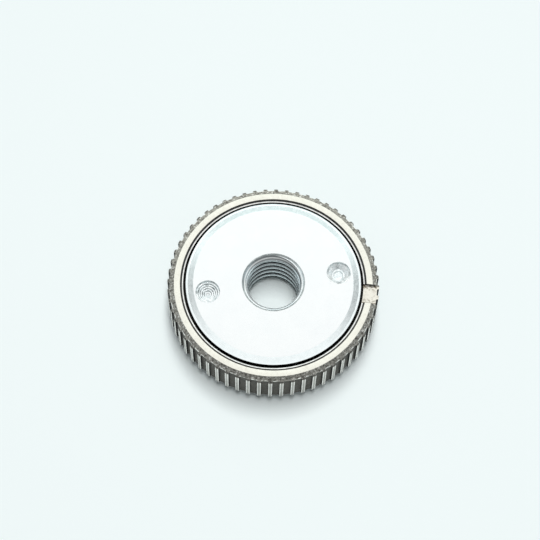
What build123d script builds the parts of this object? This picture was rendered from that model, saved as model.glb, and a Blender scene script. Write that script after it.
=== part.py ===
"""Quick release clamping nut for a grinder's spindle, in millimetres, standing on its clamping face with +Z up.

A threaded hub carries a pressure plate on six wedge blocks. The blocks are held in by rollers that run
on the cam inside the knurled ring. Turning the ring lets the blocks move out, the plate rises and the
grip on the disc is gone. Springs turn the ring back. X runs through the two spanner holes.
"""

import math
import os

from build123d import *

# Threaded hub
THREAD_MINOR_R = 5.92
BORE_MOUTH_R = 7.07
BORE_END_CHAMFER = 0.75
SLEEVE_WALL = 3.08
SLEEVE_END_Z = 2.0
SLEEVE_END_CHAMFER = 0.25
HUB_PROUD = 0.4
FACE_RIM_WIDTH = 0.5
FACE_CHAMFER_WIDTH = 1.3
FACE_CHAMFER_DROP = 0.3
SHOULDER_THICKNESS = 1.85
SHOULDER_CHAMFER = 0.15

# Spanner holes
SPANNER_PITCH_D = 30.0
SPANNER_HOLE_R = 2.65
SPANNER_WALL_DEPTH = 0.65
DRILL_POINT_DEG = 118.0
PILOT_PIT_R = 1.3
PILOT_PIT_DEPTH = 0.35

# Wedge blocks and rollers
STATIONS = 6
FIRST_STATION_DEG = 30.0
BLOCK_WIDTH = 6.9
BLOCK_LENGTH = 6.4
BLOCK_SIDE_GAP = 0.1
BLOCK_INNER_GAP = 1.6
BLOCK_CHAMFER = 0.25
ROLLER_R = 1.5
ROLLER_LENGTH = 3.3
ROLLER_STANDOFF = 0.3
ROLLER_END_GAP = 0.1
ROLLER_FOOT_GAP = 0.12
ROLLER_FIT_GAP = 0.03
WEDGE_SLOPE = 0.4
WEDGE_GAP = 0.03
RIB_CAM_GAP = 0.45
RIB_PLATE_GAP = 0.15

# Ring and cam
RELEASE_DEG = 27.0
BLOCK_TRAVEL = 1.0
CAM_GAP = 0.04
CAM_LAND_DEG = 20.0
CAM_POCKET_DEG = 33.0
CAM_RETURN_DEG = 7.0
CAM_WALL = 1.77
CAM_RING_RECESS = 0.15
CAM_STEP_GAP = 0.05
RING_WALL = 1.95
RING_STEP = 0.65
LIP_OVERLAP = 0.53
LIP_THICKNESS = 1.7
TOP_GAP = 0.52
RUN_GAP = 0.05
PRESS_GAP = 0.01

# Outside of the ring
KNURL_COUNT = 60
KNURL_PHASE_DEG = -10.75
KNURL_DEPTH = 0.5
KNURL_TIP_WIDTH = 0.86
KNURL_BASE_WIDTH = 1.06
TOP_BEVEL_WIDTH = 1.55
TOP_BEVEL_DROP = 0.65
INNER_LEDGE_WIDTH = 0.28
INNER_LEDGE_DROP = 0.3
INNER_CHAMFER_WIDTH = 0.43
BOTTOM_CHAMFER = 0.3
SLOT_ANGLE_DEG = -15.75
SLOT_WIDTH = 4.6
SLOT_DEPTH = 0.8

# Pressure plate
PLATE_R = 22.3
PLATE_THICKNESS = 2.85
PLATE_EDGE_CHAMFER = 0.35
RING_PLATE_GAP = 0.2
BOSS_HEIGHT = 1.75
BOSS_RING_GAP = 0.2
RECESS_CLIP_GAP = 0.55
RELIEF_WIDTH = 2.0
RELIEF_DEPTH = 0.3
PLATE_BORE_GAP = 0.06
PAD_SIDE_GAP = 0.2
SEAL_SECTION = 0.86
SEAL_GROOVE_HEIGHT = 0.9
SEAL_GROOVE_LAND = 0.15
SEAL_GAP = 0.05

# Clip and lifting spring on the sleeve
CLIP_LAND = 0.5
CLIP_THICKNESS = 0.5
CLIP_DEPTH = 0.65
CLIP_WIDTH = 2.2
CLIP_OPEN_DEG = 34.0
CLIP_FIT_GAP = 0.05
LIFT_SPRING_THICKNESS = 0.25
LIFT_SPRING_HEIGHT = 0.55
LIFT_SPRING_GAP = 0.03

# Return springs and their pins
SPRING_SETS = 3
PIN_R = 0.75
PIN_SEAT_DEPTH = 2.2
POCKET_DEG = 70.0
POCKET_HEIGHT = 1.4
POCKET_DEPTH = 2.0
PIN_STOP_GAP = 0.1
PIN_ROOF_GAP = 0.1
RETURN_SPRING_R = 0.58
SPRING_END_GAP_DEG = 0.25

# Radii that follow, from the bore outwards
SLEEVE_R = THREAD_MINOR_R + SLEEVE_WALL
BLOCK_IN_R = SLEEVE_R + BLOCK_INNER_GAP
BLOCK_OUT_R = BLOCK_IN_R + BLOCK_LENGTH
ROLLER_CENTRE_R = BLOCK_OUT_R + ROLLER_STANDOFF
CAM_REACH = ROLLER_R + CAM_GAP
CAM_RISE = BLOCK_TRAVEL / math.radians(RELEASE_DEG)
CAM_RING_R = ROLLER_CENTRE_R + CAM_REACH + BLOCK_TRAVEL + CAM_WALL
KNURL_ROOT_R = CAM_RING_R + RING_WALL
KNURL_TIP_R = KNURL_ROOT_R + KNURL_DEPTH
JOURNAL_R = CAM_RING_R - RING_STEP
SHOULDER_R = JOURNAL_R - RUN_GAP
LIP_R = JOURNAL_R - LIP_OVERLAP
HUB_R = LIP_R - TOP_GAP
RIB_R = ROLLER_CENTRE_R + CAM_REACH - RIB_CAM_GAP
CHANNEL_WIDTH = BLOCK_WIDTH + 2 * BLOCK_SIDE_GAP
PAD_WIDTH = CHANNEL_WIDTH - 2 * PAD_SIDE_GAP
PAD_OUT_R = BLOCK_OUT_R + BLOCK_TRAVEL
PLATE_BORE_R = SLEEVE_R + PLATE_BORE_GAP
CAM_BORE_R = ROLLER_CENTRE_R + CAM_REACH + BLOCK_TRAVEL / 2
BOSS_R = CAM_BORE_R - BOSS_RING_GAP
CLIP_GROOVE_R = SLEEVE_R - CLIP_DEPTH
CLIP_OUT_R = CLIP_GROOVE_R + CLIP_FIT_GAP + CLIP_WIDTH
RECESS_R = CLIP_OUT_R + RECESS_CLIP_GAP
PIN_CENTRE_R = JOURNAL_R - RUN_GAP - CLIP_FIT_GAP - PIN_R

# Heights that follow, from the clamping face upwards
PLATE_TRAVEL = BLOCK_TRAVEL * WEDGE_SLOPE
RING_BOTTOM_Z = PLATE_THICKNESS + PLATE_TRAVEL + RING_PLATE_GAP
BOSS_TOP_Z = PLATE_THICKNESS + BOSS_HEIGHT
WEDGE_FOOT_Z = BOSS_TOP_Z + PLATE_TRAVEL
RIB_BOTTOM_Z = WEDGE_FOOT_Z + RIB_PLATE_GAP
ROLLER_BOTTOM_Z = WEDGE_FOOT_Z + WEDGE_SLOPE * (ROLLER_R - ROLLER_STANDOFF) + ROLLER_FOOT_GAP
ROLLER_TOP_Z = ROLLER_BOTTOM_Z + ROLLER_LENGTH
HUB_UNDER_Z = ROLLER_TOP_Z + ROLLER_END_GAP
CAM_STEP_Z = RIB_BOTTOM_Z - CAM_STEP_GAP
CAM_TOP_Z = HUB_UNDER_Z - RUN_GAP
SHOULDER_TOP_Z = HUB_UNDER_Z + SHOULDER_THICKNESS
LIP_BOTTOM_Z = SHOULDER_TOP_Z + RUN_GAP
RING_TOP_Z = LIP_BOTTOM_Z + LIP_THICKNESS
HUB_FACE_Z = RING_TOP_Z + HUB_PROUD
POCKET_ROOF_Z = HUB_UNDER_Z + POCKET_HEIGHT
BLOCK_TOP_Z = HUB_UNDER_Z - WEDGE_GAP
CLIP_GROOVE_Z = SLEEVE_END_Z + CLIP_LAND
CLIP_TOP_Z = CLIP_GROOVE_Z + CLIP_FIT_GAP + CLIP_THICKNESS
RECESS_ROOF_Z = CLIP_TOP_Z + LIFT_SPRING_HEIGHT + 2 * LIFT_SPRING_GAP

STATION_ANGLES = [FIRST_STATION_DEG + 360.0 / STATIONS * i for i in range(STATIONS)]
PIN_ANGLES = [
    FIRST_STATION_DEG + CAM_LAND_DEG / 2 + 360.0 / SPRING_SETS * i for i in range(SPRING_SETS)
]
PIN_CLEAR_DEG = math.degrees((PIN_R + PIN_STOP_GAP) / PIN_CENTRE_R)
SPANNER_ANGLES = (0.0, 180.0)


def polar(radius, degrees):
    """The point in plan at a radius and an angle."""
    turn = math.radians(degrees)
    return (radius * math.cos(turn), radius * math.sin(turn))


def turned(points):
    """A solid turned about Z from a closed section of (radius, height) points."""
    return revolve(Plane.XZ * make_face(Polyline(*points, close=True)), Axis.Z)


def disc(radius, low, high):
    """A round bar on the Z axis between two heights."""
    return Pos(0, 0, low) * Cylinder(radius, high - low, align=(Align.CENTER, Align.CENTER, Align.MIN))


def radial_bar(width, start, end, low, high, degrees):
    """A square bar that runs outwards at an angle."""
    bar = Box(end - start, width, high - low, align=(Align.MIN, Align.CENTER, Align.MIN))
    return Rot(0, 0, degrees) * Pos(start, 0, low) * bar


def sector(inner, outer, low, high, first, last):
    """A piece of a flat ring between two angles."""
    middle = (first + last) / 2
    edges = [
        ThreePointArc(polar(outer, first), polar(outer, middle), polar(outer, last)),
        Line(polar(outer, last), polar(inner, last)),
        ThreePointArc(polar(inner, last), polar(inner, middle), polar(inner, first)),
        Line(polar(inner, first), polar(outer, first)),
    ]
    return Pos(0, 0, low) * extrude(make_face(edges), high - low)


def wedge_height(radius):
    """Height of the plate's wedge pads at a radius, with the ring locked."""
    return WEDGE_FOOT_Z + WEDGE_SLOPE * (BLOCK_OUT_R - radius)


def hub_section():
    """Half section of the threaded hub: bore, sleeve with its clip groove, shoulder and face."""
    chamfer_r = HUB_R - FACE_RIM_WIDTH
    mouth_depth = BORE_MOUTH_R - THREAD_MINOR_R
    groove_top = CLIP_TOP_Z + CLIP_FIT_GAP
    return [
        (THREAD_MINOR_R + BORE_END_CHAMFER, SLEEVE_END_Z),
        (SLEEVE_R - SLEEVE_END_CHAMFER, SLEEVE_END_Z),
        (SLEEVE_R, SLEEVE_END_Z + SLEEVE_END_CHAMFER),
        (SLEEVE_R, CLIP_GROOVE_Z),
        (CLIP_GROOVE_R, CLIP_GROOVE_Z),
        (CLIP_GROOVE_R, groove_top),
        (SLEEVE_R, groove_top),
        (SLEEVE_R, HUB_UNDER_Z),
        (SHOULDER_R - SHOULDER_CHAMFER, HUB_UNDER_Z),
        (SHOULDER_R, HUB_UNDER_Z + SHOULDER_CHAMFER),
        (SHOULDER_R, SHOULDER_TOP_Z),
        (HUB_R, SHOULDER_TOP_Z),
        (HUB_R, HUB_FACE_Z - FACE_CHAMFER_DROP),
        (chamfer_r, HUB_FACE_Z - FACE_CHAMFER_DROP),
        (chamfer_r - FACE_CHAMFER_WIDTH, HUB_FACE_Z),
        (BORE_MOUTH_R, HUB_FACE_Z),
        (THREAD_MINOR_R, HUB_FACE_Z - mouth_depth),
        (THREAD_MINOR_R, SLEEVE_END_Z + BORE_END_CHAMFER),
    ]


def guide_ribs():
    """The ribs under the hub that guide the blocks and key the plate."""
    root = HUB_UNDER_Z + SHOULDER_THICKNESS / 2
    ribs = disc(RIB_R, RIB_BOTTOM_Z, root) - disc(SLEEVE_R - SLEEVE_WALL / 2, RIB_BOTTOM_Z, root)
    for angle in STATION_ANGLES:
        ribs -= radial_bar(CHANNEL_WIDTH, 0, RIB_R + 1, RIB_BOTTOM_Z, HUB_UNDER_Z, angle)
    return ribs


def spanner_hole(angle):
    """A blind drilled hole for one pin of the spanner."""
    point_depth = SPANNER_HOLE_R / math.tan(math.radians(DRILL_POINT_DEG / 2))
    floor = HUB_FACE_Z - SPANNER_WALL_DEPTH
    section = [
        (0, floor - point_depth),
        (SPANNER_HOLE_R, floor),
        (SPANNER_HOLE_R, HUB_FACE_Z + 1),
        (0, HUB_FACE_Z + 1),
    ]
    return Rot(0, 0, angle) * Pos(SPANNER_PITCH_D / 2, 0, 0) * turned(section)


def pilot_pit():
    """The small flat pit left in the floor of the first spanner hole."""
    point_depth = (SPANNER_HOLE_R - PILOT_PIT_R) / math.tan(math.radians(DRILL_POINT_DEG / 2))
    rim = HUB_FACE_Z - SPANNER_WALL_DEPTH - point_depth
    return Pos(SPANNER_PITCH_D / 2, 0, 0) * disc(PILOT_PIT_R, rim - PILOT_PIT_DEPTH, rim + 1)


def spring_pocket(angle):
    """The pocket in the hub's shoulder that holds a return spring and its pin."""
    first = angle - PIN_CLEAR_DEG
    return sector(
        JOURNAL_R - POCKET_DEPTH, JOURNAL_R + 1, HUB_UNDER_Z - 1, POCKET_ROOF_Z, first, first + POCKET_DEG
    )


def make_hub():
    """The threaded hub with its guide ribs, spanner holes and spring pockets."""
    hub = turned(hub_section()) + guide_ribs()
    for angle in SPANNER_ANGLES:
        hub -= spanner_hole(angle)
    hub -= pilot_pit()
    for angle in PIN_ANGLES:
        hub -= spring_pocket(angle)
    return hub


def ring_section():
    """Half section of the outer ring: lip, ledge, polished band, bevel and the seat of the cam ring."""
    ledge_z = RING_TOP_Z - INNER_LEDGE_DROP
    ledge_r = LIP_R + INNER_LEDGE_WIDTH
    return [
        (LIP_R, LIP_BOTTOM_Z),
        (LIP_R, ledge_z),
        (ledge_r, ledge_z),
        (ledge_r + INNER_CHAMFER_WIDTH, RING_TOP_Z),
        (KNURL_TIP_R - TOP_BEVEL_WIDTH, RING_TOP_Z),
        (KNURL_TIP_R, RING_TOP_Z - TOP_BEVEL_DROP),
        (KNURL_TIP_R, RING_BOTTOM_Z + BOTTOM_CHAMFER),
        (KNURL_TIP_R - BOTTOM_CHAMFER, RING_BOTTOM_Z),
        (CAM_RING_R + BOTTOM_CHAMFER, RING_BOTTOM_Z),
        (CAM_RING_R, RING_BOTTOM_Z + BOTTOM_CHAMFER),
        (CAM_RING_R, CAM_TOP_Z),
        (JOURNAL_R, CAM_TOP_Z),
        (JOURNAL_R, LIP_BOTTOM_Z),
    ]


def knurl_bar():
    """A bar with the outline of the straight knurl."""
    step = 360.0 / KNURL_COUNT
    half_tip = math.degrees(KNURL_TIP_WIDTH / 2 / KNURL_TIP_R)
    half_base = math.degrees(KNURL_BASE_WIDTH / 2 / KNURL_ROOT_R)
    edges = []
    for i in range(KNURL_COUNT):
        centre = KNURL_PHASE_DEG + step * i
        rise = polar(KNURL_ROOT_R, centre - half_base)
        tip_start = polar(KNURL_TIP_R, centre - half_tip)
        tip_end = polar(KNURL_TIP_R, centre + half_tip)
        fall = polar(KNURL_ROOT_R, centre + half_base)
        edges.append(Line(rise, tip_start))
        edges.append(ThreePointArc(tip_start, polar(KNURL_TIP_R, centre), tip_end))
        edges.append(Line(tip_end, fall))
        following = polar(KNURL_ROOT_R, centre + step - half_base)
        edges.append(ThreePointArc(fall, polar(KNURL_ROOT_R, centre + step / 2), following))
    return Pos(0, 0, RING_BOTTOM_Z - 1) * extrude(make_face(edges), RING_TOP_Z - RING_BOTTOM_Z + 2)


def make_ring():
    """The knurled outer ring with the index slot milled across its top."""
    ring = turned(ring_section()) & knurl_bar()
    slot_floor = RING_TOP_Z - SLOT_DEPTH
    ring -= radial_bar(
        SLOT_WIDTH, LIP_R - 1, KNURL_TIP_R + 1, slot_floor, RING_TOP_Z + 1, SLOT_ANGLE_DEG
    )
    return ring


def cam_point(station, turn_deg):
    """The point of the cam that the station's roller meets when the ring has turned by an angle."""
    turn = math.radians(turn_deg)
    centre_r = ROLLER_CENTRE_R + CAM_RISE * turn
    lean = math.hypot(centre_r, CAM_RISE)
    radial = centre_r + CAM_REACH * centre_r / lean
    sideways = CAM_REACH * CAM_RISE / lean
    angle = math.radians(station) - turn
    return (
        radial * math.cos(angle) - sideways * math.sin(angle),
        radial * math.sin(angle) + sideways * math.cos(angle),
    )


def cam_edges(station):
    """One lobe of the cam, clockwise: the locking land, the ramp, the pocket and the way back."""
    land_r = math.hypot(*cam_point(station, 0))
    pocket_r = math.hypot(*cam_point(station, RELEASE_DEG))
    land_start = polar(land_r, station + CAM_LAND_DEG)
    land_end = cam_point(station, 0)
    pocket_start = cam_point(station, RELEASE_DEG)
    pocket_end = polar(pocket_r, station - CAM_POCKET_DEG)
    return_end = polar(land_r, station - CAM_POCKET_DEG - CAM_RETURN_DEG)
    next_land = polar(land_r, station - 360.0 / STATIONS + CAM_LAND_DEG)
    edges = [
        ThreePointArc(land_start, polar(land_r, station + CAM_LAND_DEG / 2), land_end),
        ThreePointArc(land_end, cam_point(station, RELEASE_DEG / 2), pocket_start),
        ThreePointArc(pocket_start, polar(pocket_r, station - (RELEASE_DEG + CAM_POCKET_DEG) / 2), pocket_end),
        Line(pocket_end, return_end),
    ]
    if math.dist(return_end, next_land) > 0.01:
        middle = station - (CAM_POCKET_DEG + CAM_RETURN_DEG + 360.0 / STATIONS - CAM_LAND_DEG) / 2
        edges.append(ThreePointArc(return_end, polar(land_r, middle), next_land))
    return edges


def make_cam_ring():
    """The hardened cam ring pressed into the outer ring from below, with seats for the spring pins."""
    edges = []
    for station in reversed(STATION_ANGLES):
        edges += cam_edges(station)
    outline = make_face(edges)
    cam = disc(CAM_RING_R - PRESS_GAP, RING_BOTTOM_Z + CAM_RING_RECESS, CAM_TOP_Z)
    cam -= disc(CAM_BORE_R, RING_BOTTOM_Z - 1, CAM_STEP_Z)
    cam -= Pos(0, 0, CAM_STEP_Z) * extrude(outline, CAM_TOP_Z - CAM_STEP_Z + 1)
    for angle in PIN_ANGLES:
        x, y = polar(PIN_CENTRE_R, angle)
        cam -= Pos(x, y, 0) * disc(PIN_R, CAM_TOP_Z - PIN_SEAT_DEPTH, CAM_TOP_Z + 1)
    return cam


def make_spring_pins():
    """The pins in the cam ring that the return springs push against."""
    top = POCKET_ROOF_Z - PIN_ROOF_GAP
    bottom = CAM_TOP_Z - PIN_SEAT_DEPTH + PRESS_GAP
    pins = []
    for angle in PIN_ANGLES:
        x, y = polar(PIN_CENTRE_R, angle)
        pins.append(Pos(x, y, 0) * disc(PIN_R - PRESS_GAP, bottom, top))
    return Compound(children=pins)


def make_return_spring(angle):
    """The body of one return spring, lying bent along its pocket."""
    first = angle + PIN_CLEAR_DEG + SPRING_END_GAP_DEG
    last = angle - PIN_CLEAR_DEG + POCKET_DEG - SPRING_END_GAP_DEG
    height = HUB_UNDER_Z + POCKET_HEIGHT / 2
    section = Plane.XZ * Pos(PIN_CENTRE_R, height) * RegularPolygon(RETURN_SPRING_R, 8)
    return Rot(0, 0, first) * revolve(section, Axis.Z, last - first)


def make_block(angle):
    """One wedge block, with a saddle for its roller."""
    section = [
        (BLOCK_IN_R, wedge_height(BLOCK_IN_R) + WEDGE_GAP),
        (BLOCK_OUT_R, wedge_height(BLOCK_OUT_R) + WEDGE_GAP),
        (BLOCK_OUT_R, BLOCK_TOP_Z - BLOCK_CHAMFER),
        (BLOCK_OUT_R - BLOCK_CHAMFER, BLOCK_TOP_Z),
        (BLOCK_IN_R, BLOCK_TOP_Z),
    ]
    side = Plane.XZ * make_face(Polyline(*section, close=True))
    block = extrude(side, BLOCK_WIDTH / 2, both=True)
    upright = block.edges().filter_by(Axis.Z).group_by(Axis.X)[-1]
    block = chamfer(upright, BLOCK_CHAMFER)
    saddle = disc(ROLLER_R + ROLLER_FIT_GAP, ROLLER_BOTTOM_Z - 1, HUB_UNDER_Z + 1)
    block -= Pos(ROLLER_CENTRE_R, 0, 0) * saddle
    return Rot(0, 0, angle) * block


def make_roller(angle):
    """One roller, standing in its block's saddle."""
    x, y = polar(ROLLER_CENTRE_R, angle)
    return Pos(x, y, 0) * disc(ROLLER_R, ROLLER_BOTTOM_Z, ROLLER_TOP_Z)


def plate_section():
    """Half section of the pressure plate: clamping face, recess, flange, seal groove and boss."""
    groove_low = BOSS_TOP_Z - SEAL_GROOVE_LAND - SEAL_GROOVE_HEIGHT
    groove_r = CAM_BORE_R - SEAL_SECTION - 2 * SEAL_GAP
    relief_r = RECESS_R + RELIEF_WIDTH
    return [
        (relief_r, RELIEF_DEPTH),
        (relief_r, 0),
        (PLATE_R - PLATE_EDGE_CHAMFER, 0),
        (PLATE_R, PLATE_EDGE_CHAMFER),
        (PLATE_R, PLATE_THICKNESS - PLATE_EDGE_CHAMFER),
        (PLATE_R - PLATE_EDGE_CHAMFER, PLATE_THICKNESS),
        (BOSS_R, PLATE_THICKNESS),
        (BOSS_R, groove_low),
        (groove_r, groove_low),
        (groove_r, groove_low + SEAL_GROOVE_HEIGHT),
        (BOSS_R, groove_low + SEAL_GROOVE_HEIGHT),
        (BOSS_R, BOSS_TOP_Z),
        (PLATE_BORE_R, BOSS_TOP_Z),
        (PLATE_BORE_R, RECESS_ROOF_Z),
        (RECESS_R, RECESS_ROOF_Z),
        (RECESS_R, RELIEF_DEPTH),
    ]


def wedge_pad(angle):
    """One of the plate's wedge pads, between two ribs of the hub."""
    root = BOSS_TOP_Z - BOSS_HEIGHT / 2
    section = [
        (0, root),
        (PAD_OUT_R, root),
        (PAD_OUT_R, wedge_height(PAD_OUT_R)),
        (0, wedge_height(0)),
    ]
    side = Plane.XZ * make_face(Polyline(*section, close=True))
    return Rot(0, 0, angle) * extrude(side, PAD_WIDTH / 2, both=True)


def make_plate():
    """The pressure plate, with wedge pads that lift or drop it as the blocks move."""
    pads = Part() + [wedge_pad(angle) for angle in STATION_ANGLES]
    pads -= disc(PLATE_BORE_R, 0, HUB_FACE_Z)
    pads &= disc(PAD_OUT_R, 0, HUB_FACE_Z)
    return turned(plate_section()) + pads


def make_seal():
    """The sealing ring in the plate's groove, against the bore of the cam ring."""
    outer = CAM_BORE_R - SEAL_GAP
    middle = BOSS_TOP_Z - SEAL_GROOVE_LAND - SEAL_GROOVE_HEIGHT / 2
    low = middle - SEAL_SECTION / 2
    return disc(outer, low, low + SEAL_SECTION) - disc(outer - SEAL_SECTION, low, low + SEAL_SECTION)


def make_clip():
    """The open spring clip on the end of the sleeve that keeps the plate on."""
    inner = CLIP_GROOVE_R + CLIP_FIT_GAP
    first = 90 + CLIP_OPEN_DEG / 2
    low = CLIP_GROOVE_Z + CLIP_FIT_GAP
    clip = sector(inner, inner + CLIP_WIDTH, low, CLIP_TOP_Z, first, first + 360 - CLIP_OPEN_DEG)
    outer_corners = clip.edges().filter_by(Axis.Z).sort_by(Axis.Y)
    return fillet(outer_corners[-4:], CLIP_WIDTH / 4)


def make_lift_spring():
    """The conical spring washer between the clip and the plate, which keeps the plate against the blocks."""
    inner = SLEEVE_R + 3 * PLATE_BORE_GAP
    outer = RECESS_R - 3 * PLATE_BORE_GAP
    low = CLIP_TOP_Z + LIFT_SPRING_GAP
    cone = LIFT_SPRING_HEIGHT - LIFT_SPRING_THICKNESS
    return turned(
        [
            (inner, low),
            (outer, low + cone),
            (outer, low + LIFT_SPRING_HEIGHT),
            (inner, low + LIFT_SPRING_THICKNESS),
        ]
    )


def make_parts():
    """Every node of the nut by name."""
    parts = {
        "hub_nut": make_hub(),
        "knurled_ring": make_ring(),
        "cam_ring": make_cam_ring(),
        "spring_pins": make_spring_pins(),
        "pressure_plate": make_plate(),
        "seal_ring": make_seal(),
        "retaining_clip": make_clip(),
        "lift_spring": make_lift_spring(),
    }
    for i, angle in enumerate(PIN_ANGLES, 1):
        parts[f"return_spring_{i}"] = make_return_spring(angle)
    for i, angle in enumerate(STATION_ANGLES, 1):
        parts[f"wedge_block_{i}"] = make_block(angle)
        parts[f"roller_{i}"] = make_roller(angle)
    return parts


def main():
    """Write one STEP file per node."""
    os.makedirs("parts", exist_ok=True)
    for name, shape in make_parts().items():
        export_step(shape, f"parts/{name}.step")


if __name__ == "__main__":
    main()
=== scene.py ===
"""Looks of the quick release grinder nut.

The nut is five sub-assemblies: the plated hub, the knurled ring, the pressure plate, the wedge
lock under the ring and the springs. Each is a class that holds its sizes in millimetres, builds
its meshes round the Z axis and gives them their finish. The studio holds the floor, the light and
the camera. Radii and heights that the frame knows are read from it.
"""

import logging
import math
from dataclasses import dataclass, field
from enum import Enum
from typing import ClassVar

import bmesh
import bpy
from mathutils import Matrix, Vector, noise


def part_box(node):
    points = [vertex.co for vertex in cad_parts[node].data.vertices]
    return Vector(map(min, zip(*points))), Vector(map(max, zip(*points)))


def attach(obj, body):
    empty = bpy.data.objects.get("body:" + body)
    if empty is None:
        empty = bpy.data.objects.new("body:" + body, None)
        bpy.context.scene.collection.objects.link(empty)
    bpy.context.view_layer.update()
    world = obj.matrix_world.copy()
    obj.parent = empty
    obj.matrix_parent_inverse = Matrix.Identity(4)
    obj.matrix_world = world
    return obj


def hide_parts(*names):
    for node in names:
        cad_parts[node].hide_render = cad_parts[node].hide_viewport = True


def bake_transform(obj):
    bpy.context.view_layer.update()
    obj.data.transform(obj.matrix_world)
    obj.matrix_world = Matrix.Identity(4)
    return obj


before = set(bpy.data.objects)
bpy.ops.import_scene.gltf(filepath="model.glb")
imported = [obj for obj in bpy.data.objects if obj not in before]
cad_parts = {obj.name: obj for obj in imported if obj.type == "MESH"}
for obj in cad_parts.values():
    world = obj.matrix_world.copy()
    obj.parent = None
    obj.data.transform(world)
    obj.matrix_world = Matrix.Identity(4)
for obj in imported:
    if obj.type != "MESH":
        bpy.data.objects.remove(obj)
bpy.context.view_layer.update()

MM = 0.001
FULL_TURN = 2 * math.pi
UP = Vector((0, 0, 1))
CENTRE = (0, 0, 0)

# How close two points count as one: in metres after a cut, in millimetres before it
SLIVER = 1e-6
SAME_PLACE = 1e-4
# Keeps an angle that rounds to just under a ridge's border in that ridge
NUDGE = 1e-6
# A height by which faces are told apart
HAIR = 0.01
# How far a cutter runs past what it cuts
PAST = 1.0
SHARP_DEG = 35.0

PIN_ANGLES = (40.0, 160.0, 280.0)
STATION_ANGLES = (30.0, 90.0, 150.0, 210.0, 270.0, 330.0)

log = logging.getLogger("grinder_nut")

Point = tuple[float, float]
Triple = tuple[float, float, float]
Corner = Triple
Colour = Triple
Geometry = list[bmesh.types.BMVert | bmesh.types.BMEdge | bmesh.types.BMFace]
Socket = bpy.types.NodeSocket


# Measures taken from the frame


@dataclass(frozen=True)
class Extent:
    """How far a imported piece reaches, in millimetres."""

    radius: float
    low: float
    high: float

    @classmethod
    def of(cls, node: str) -> "Extent":
        """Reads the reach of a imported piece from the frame.

        Args:
            node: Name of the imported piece.

        Returns:
            Its radius along X and its two heights.
        """
        lowest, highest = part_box(node)
        radius = max(highest.x, -lowest.x) / MM
        return cls(radius, lowest.z / MM, highest.z / MM)


# Mesh tools


class Blank:
    """A mesh in the making, in millimetres, with the operators that shape it."""

    corner_steps: ClassVar[int] = 2

    def __init__(self) -> None:
        """Starts with an empty mesh."""
        self.mesh = bmesh.new()

    def soften(self, geom: Geometry, offset: float, steps: int, affect: str = "EDGES") -> None:
        """Rounds edges or corners.

        Args:
            geom: What is rounded.
            offset: Size of the rounding.
            steps: Segments in the rounding.
            affect: EDGES or VERTICES.
        """
        bmesh.ops.bevel(
            self.mesh,
            geom=geom,
            offset=offset,
            offset_type="OFFSET",
            segments=steps,
            profile=0.5,
            affect=affect,
            material=-1,
        )

    def section(self, corners: list[Corner], closed: bool = True) -> Geometry:
        """Draws a half section in the XZ plane and rounds its corners.

        Args:
            corners: Radius, height and rounding of each corner.
            closed: Whether the last corner joins the first.

        Returns:
            The vertices and edges of the section.
        """
        verts = [self.mesh.verts.new((radius, 0, height)) for radius, height, _ in corners]
        if closed:
            self.mesh.faces.new(verts)
        else:
            for pair in zip(verts, verts[1:]):
                self.mesh.edges.new(pair)
        for rounding in sorted({corner[2] for corner in corners if corner[2] > 0}):
            chosen = [v for v, corner in zip(verts, corners) if corner[2] == rounding]
            self.soften(chosen, rounding, self.corner_steps, "VERTICES")
        bmesh.ops.delete(self.mesh, geom=self.mesh.faces[:], context="FACES_ONLY")
        return self.mesh.verts[:] + self.mesh.edges[:]

    def wind(
        self,
        geom: Geometry,
        angle: float,
        steps: int,
        axis: Triple = (0, 0, 1),
        rise: Triple = (0, 0, 0),
        merge: bool = False,
    ) -> None:
        """Sweeps a section round an axis through the origin.

        Args:
            geom: The section.
            angle: How far it turns, in radians.
            steps: Segments in that turn.
            axis: Direction of the axis.
            rise: How far it moves with each segment.
            merge: Whether the end joins the start, as a full turn needs.
        """
        bmesh.ops.spin(
            self.mesh,
            geom=geom,
            cent=CENTRE,
            axis=axis,
            dvec=rise,
            angle=angle,
            steps=steps,
            use_merge=merge,
            use_duplicate=False,
        )

    def swung(self, angle_deg: float) -> "Blank":
        """Turns the whole blank round the Z axis.

        Args:
            angle_deg: How far, in degrees.

        Returns:
            The same blank.
        """
        turn = Matrix.Rotation(math.radians(angle_deg), 3, "Z")
        bmesh.ops.rotate(self.mesh, cent=CENTRE, matrix=turn, verts=self.mesh.verts[:])
        return self

    def tidy(self) -> "Blank":
        """Merges doubles and points every face outwards.

        Returns:
            The same blank.
        """
        bmesh.ops.remove_doubles(self.mesh, verts=self.mesh.verts[:], dist=SAME_PLACE)
        bmesh.ops.recalc_face_normals(self.mesh, faces=self.mesh.faces[:])
        return self

    def piece(
        self, name: str, materials: list[bpy.types.Material], sharp_deg: float = SHARP_DEG
    ) -> bpy.types.Object:
        """Makes an object in metres, smooth but for its sharp edges.

        Args:
            name: Name of the object.
            materials: Its finishes, in slot order.
            sharp_deg: Edges over this angle stay crisp.

        Returns:
            The object, linked to the scene at the origin.
        """
        bmesh.ops.scale(self.mesh, vec=(MM, MM, MM), verts=self.mesh.verts[:])
        data = bpy.data.meshes.new(name)
        self.mesh.to_mesh(data)
        self.mesh.free()
        for material in materials:
            data.materials.append(material)
        data.shade_smooth()
        data.set_sharp_from_angle(angle=math.radians(sharp_deg))
        obj = bpy.data.objects.new(name, data)
        bpy.context.scene.collection.objects.link(obj)
        return obj


def turned(corners: list[Corner], steps: int, offset: bool = False) -> Blank:
    """A closed solid of revolution from a half section.

    Args:
        corners: Radius, height and rounding of each corner.
        steps: Segments in the full turn.
        offset: Whether the segments start half a step on, as a cutter's should.

    Returns:
        The blank, ready for more work.
    """
    blank = Blank()
    blank.wind(blank.section(corners), FULL_TURN, steps, merge=True)
    return blank.tidy().swung(180.0 / steps if offset else 0.0)


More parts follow.
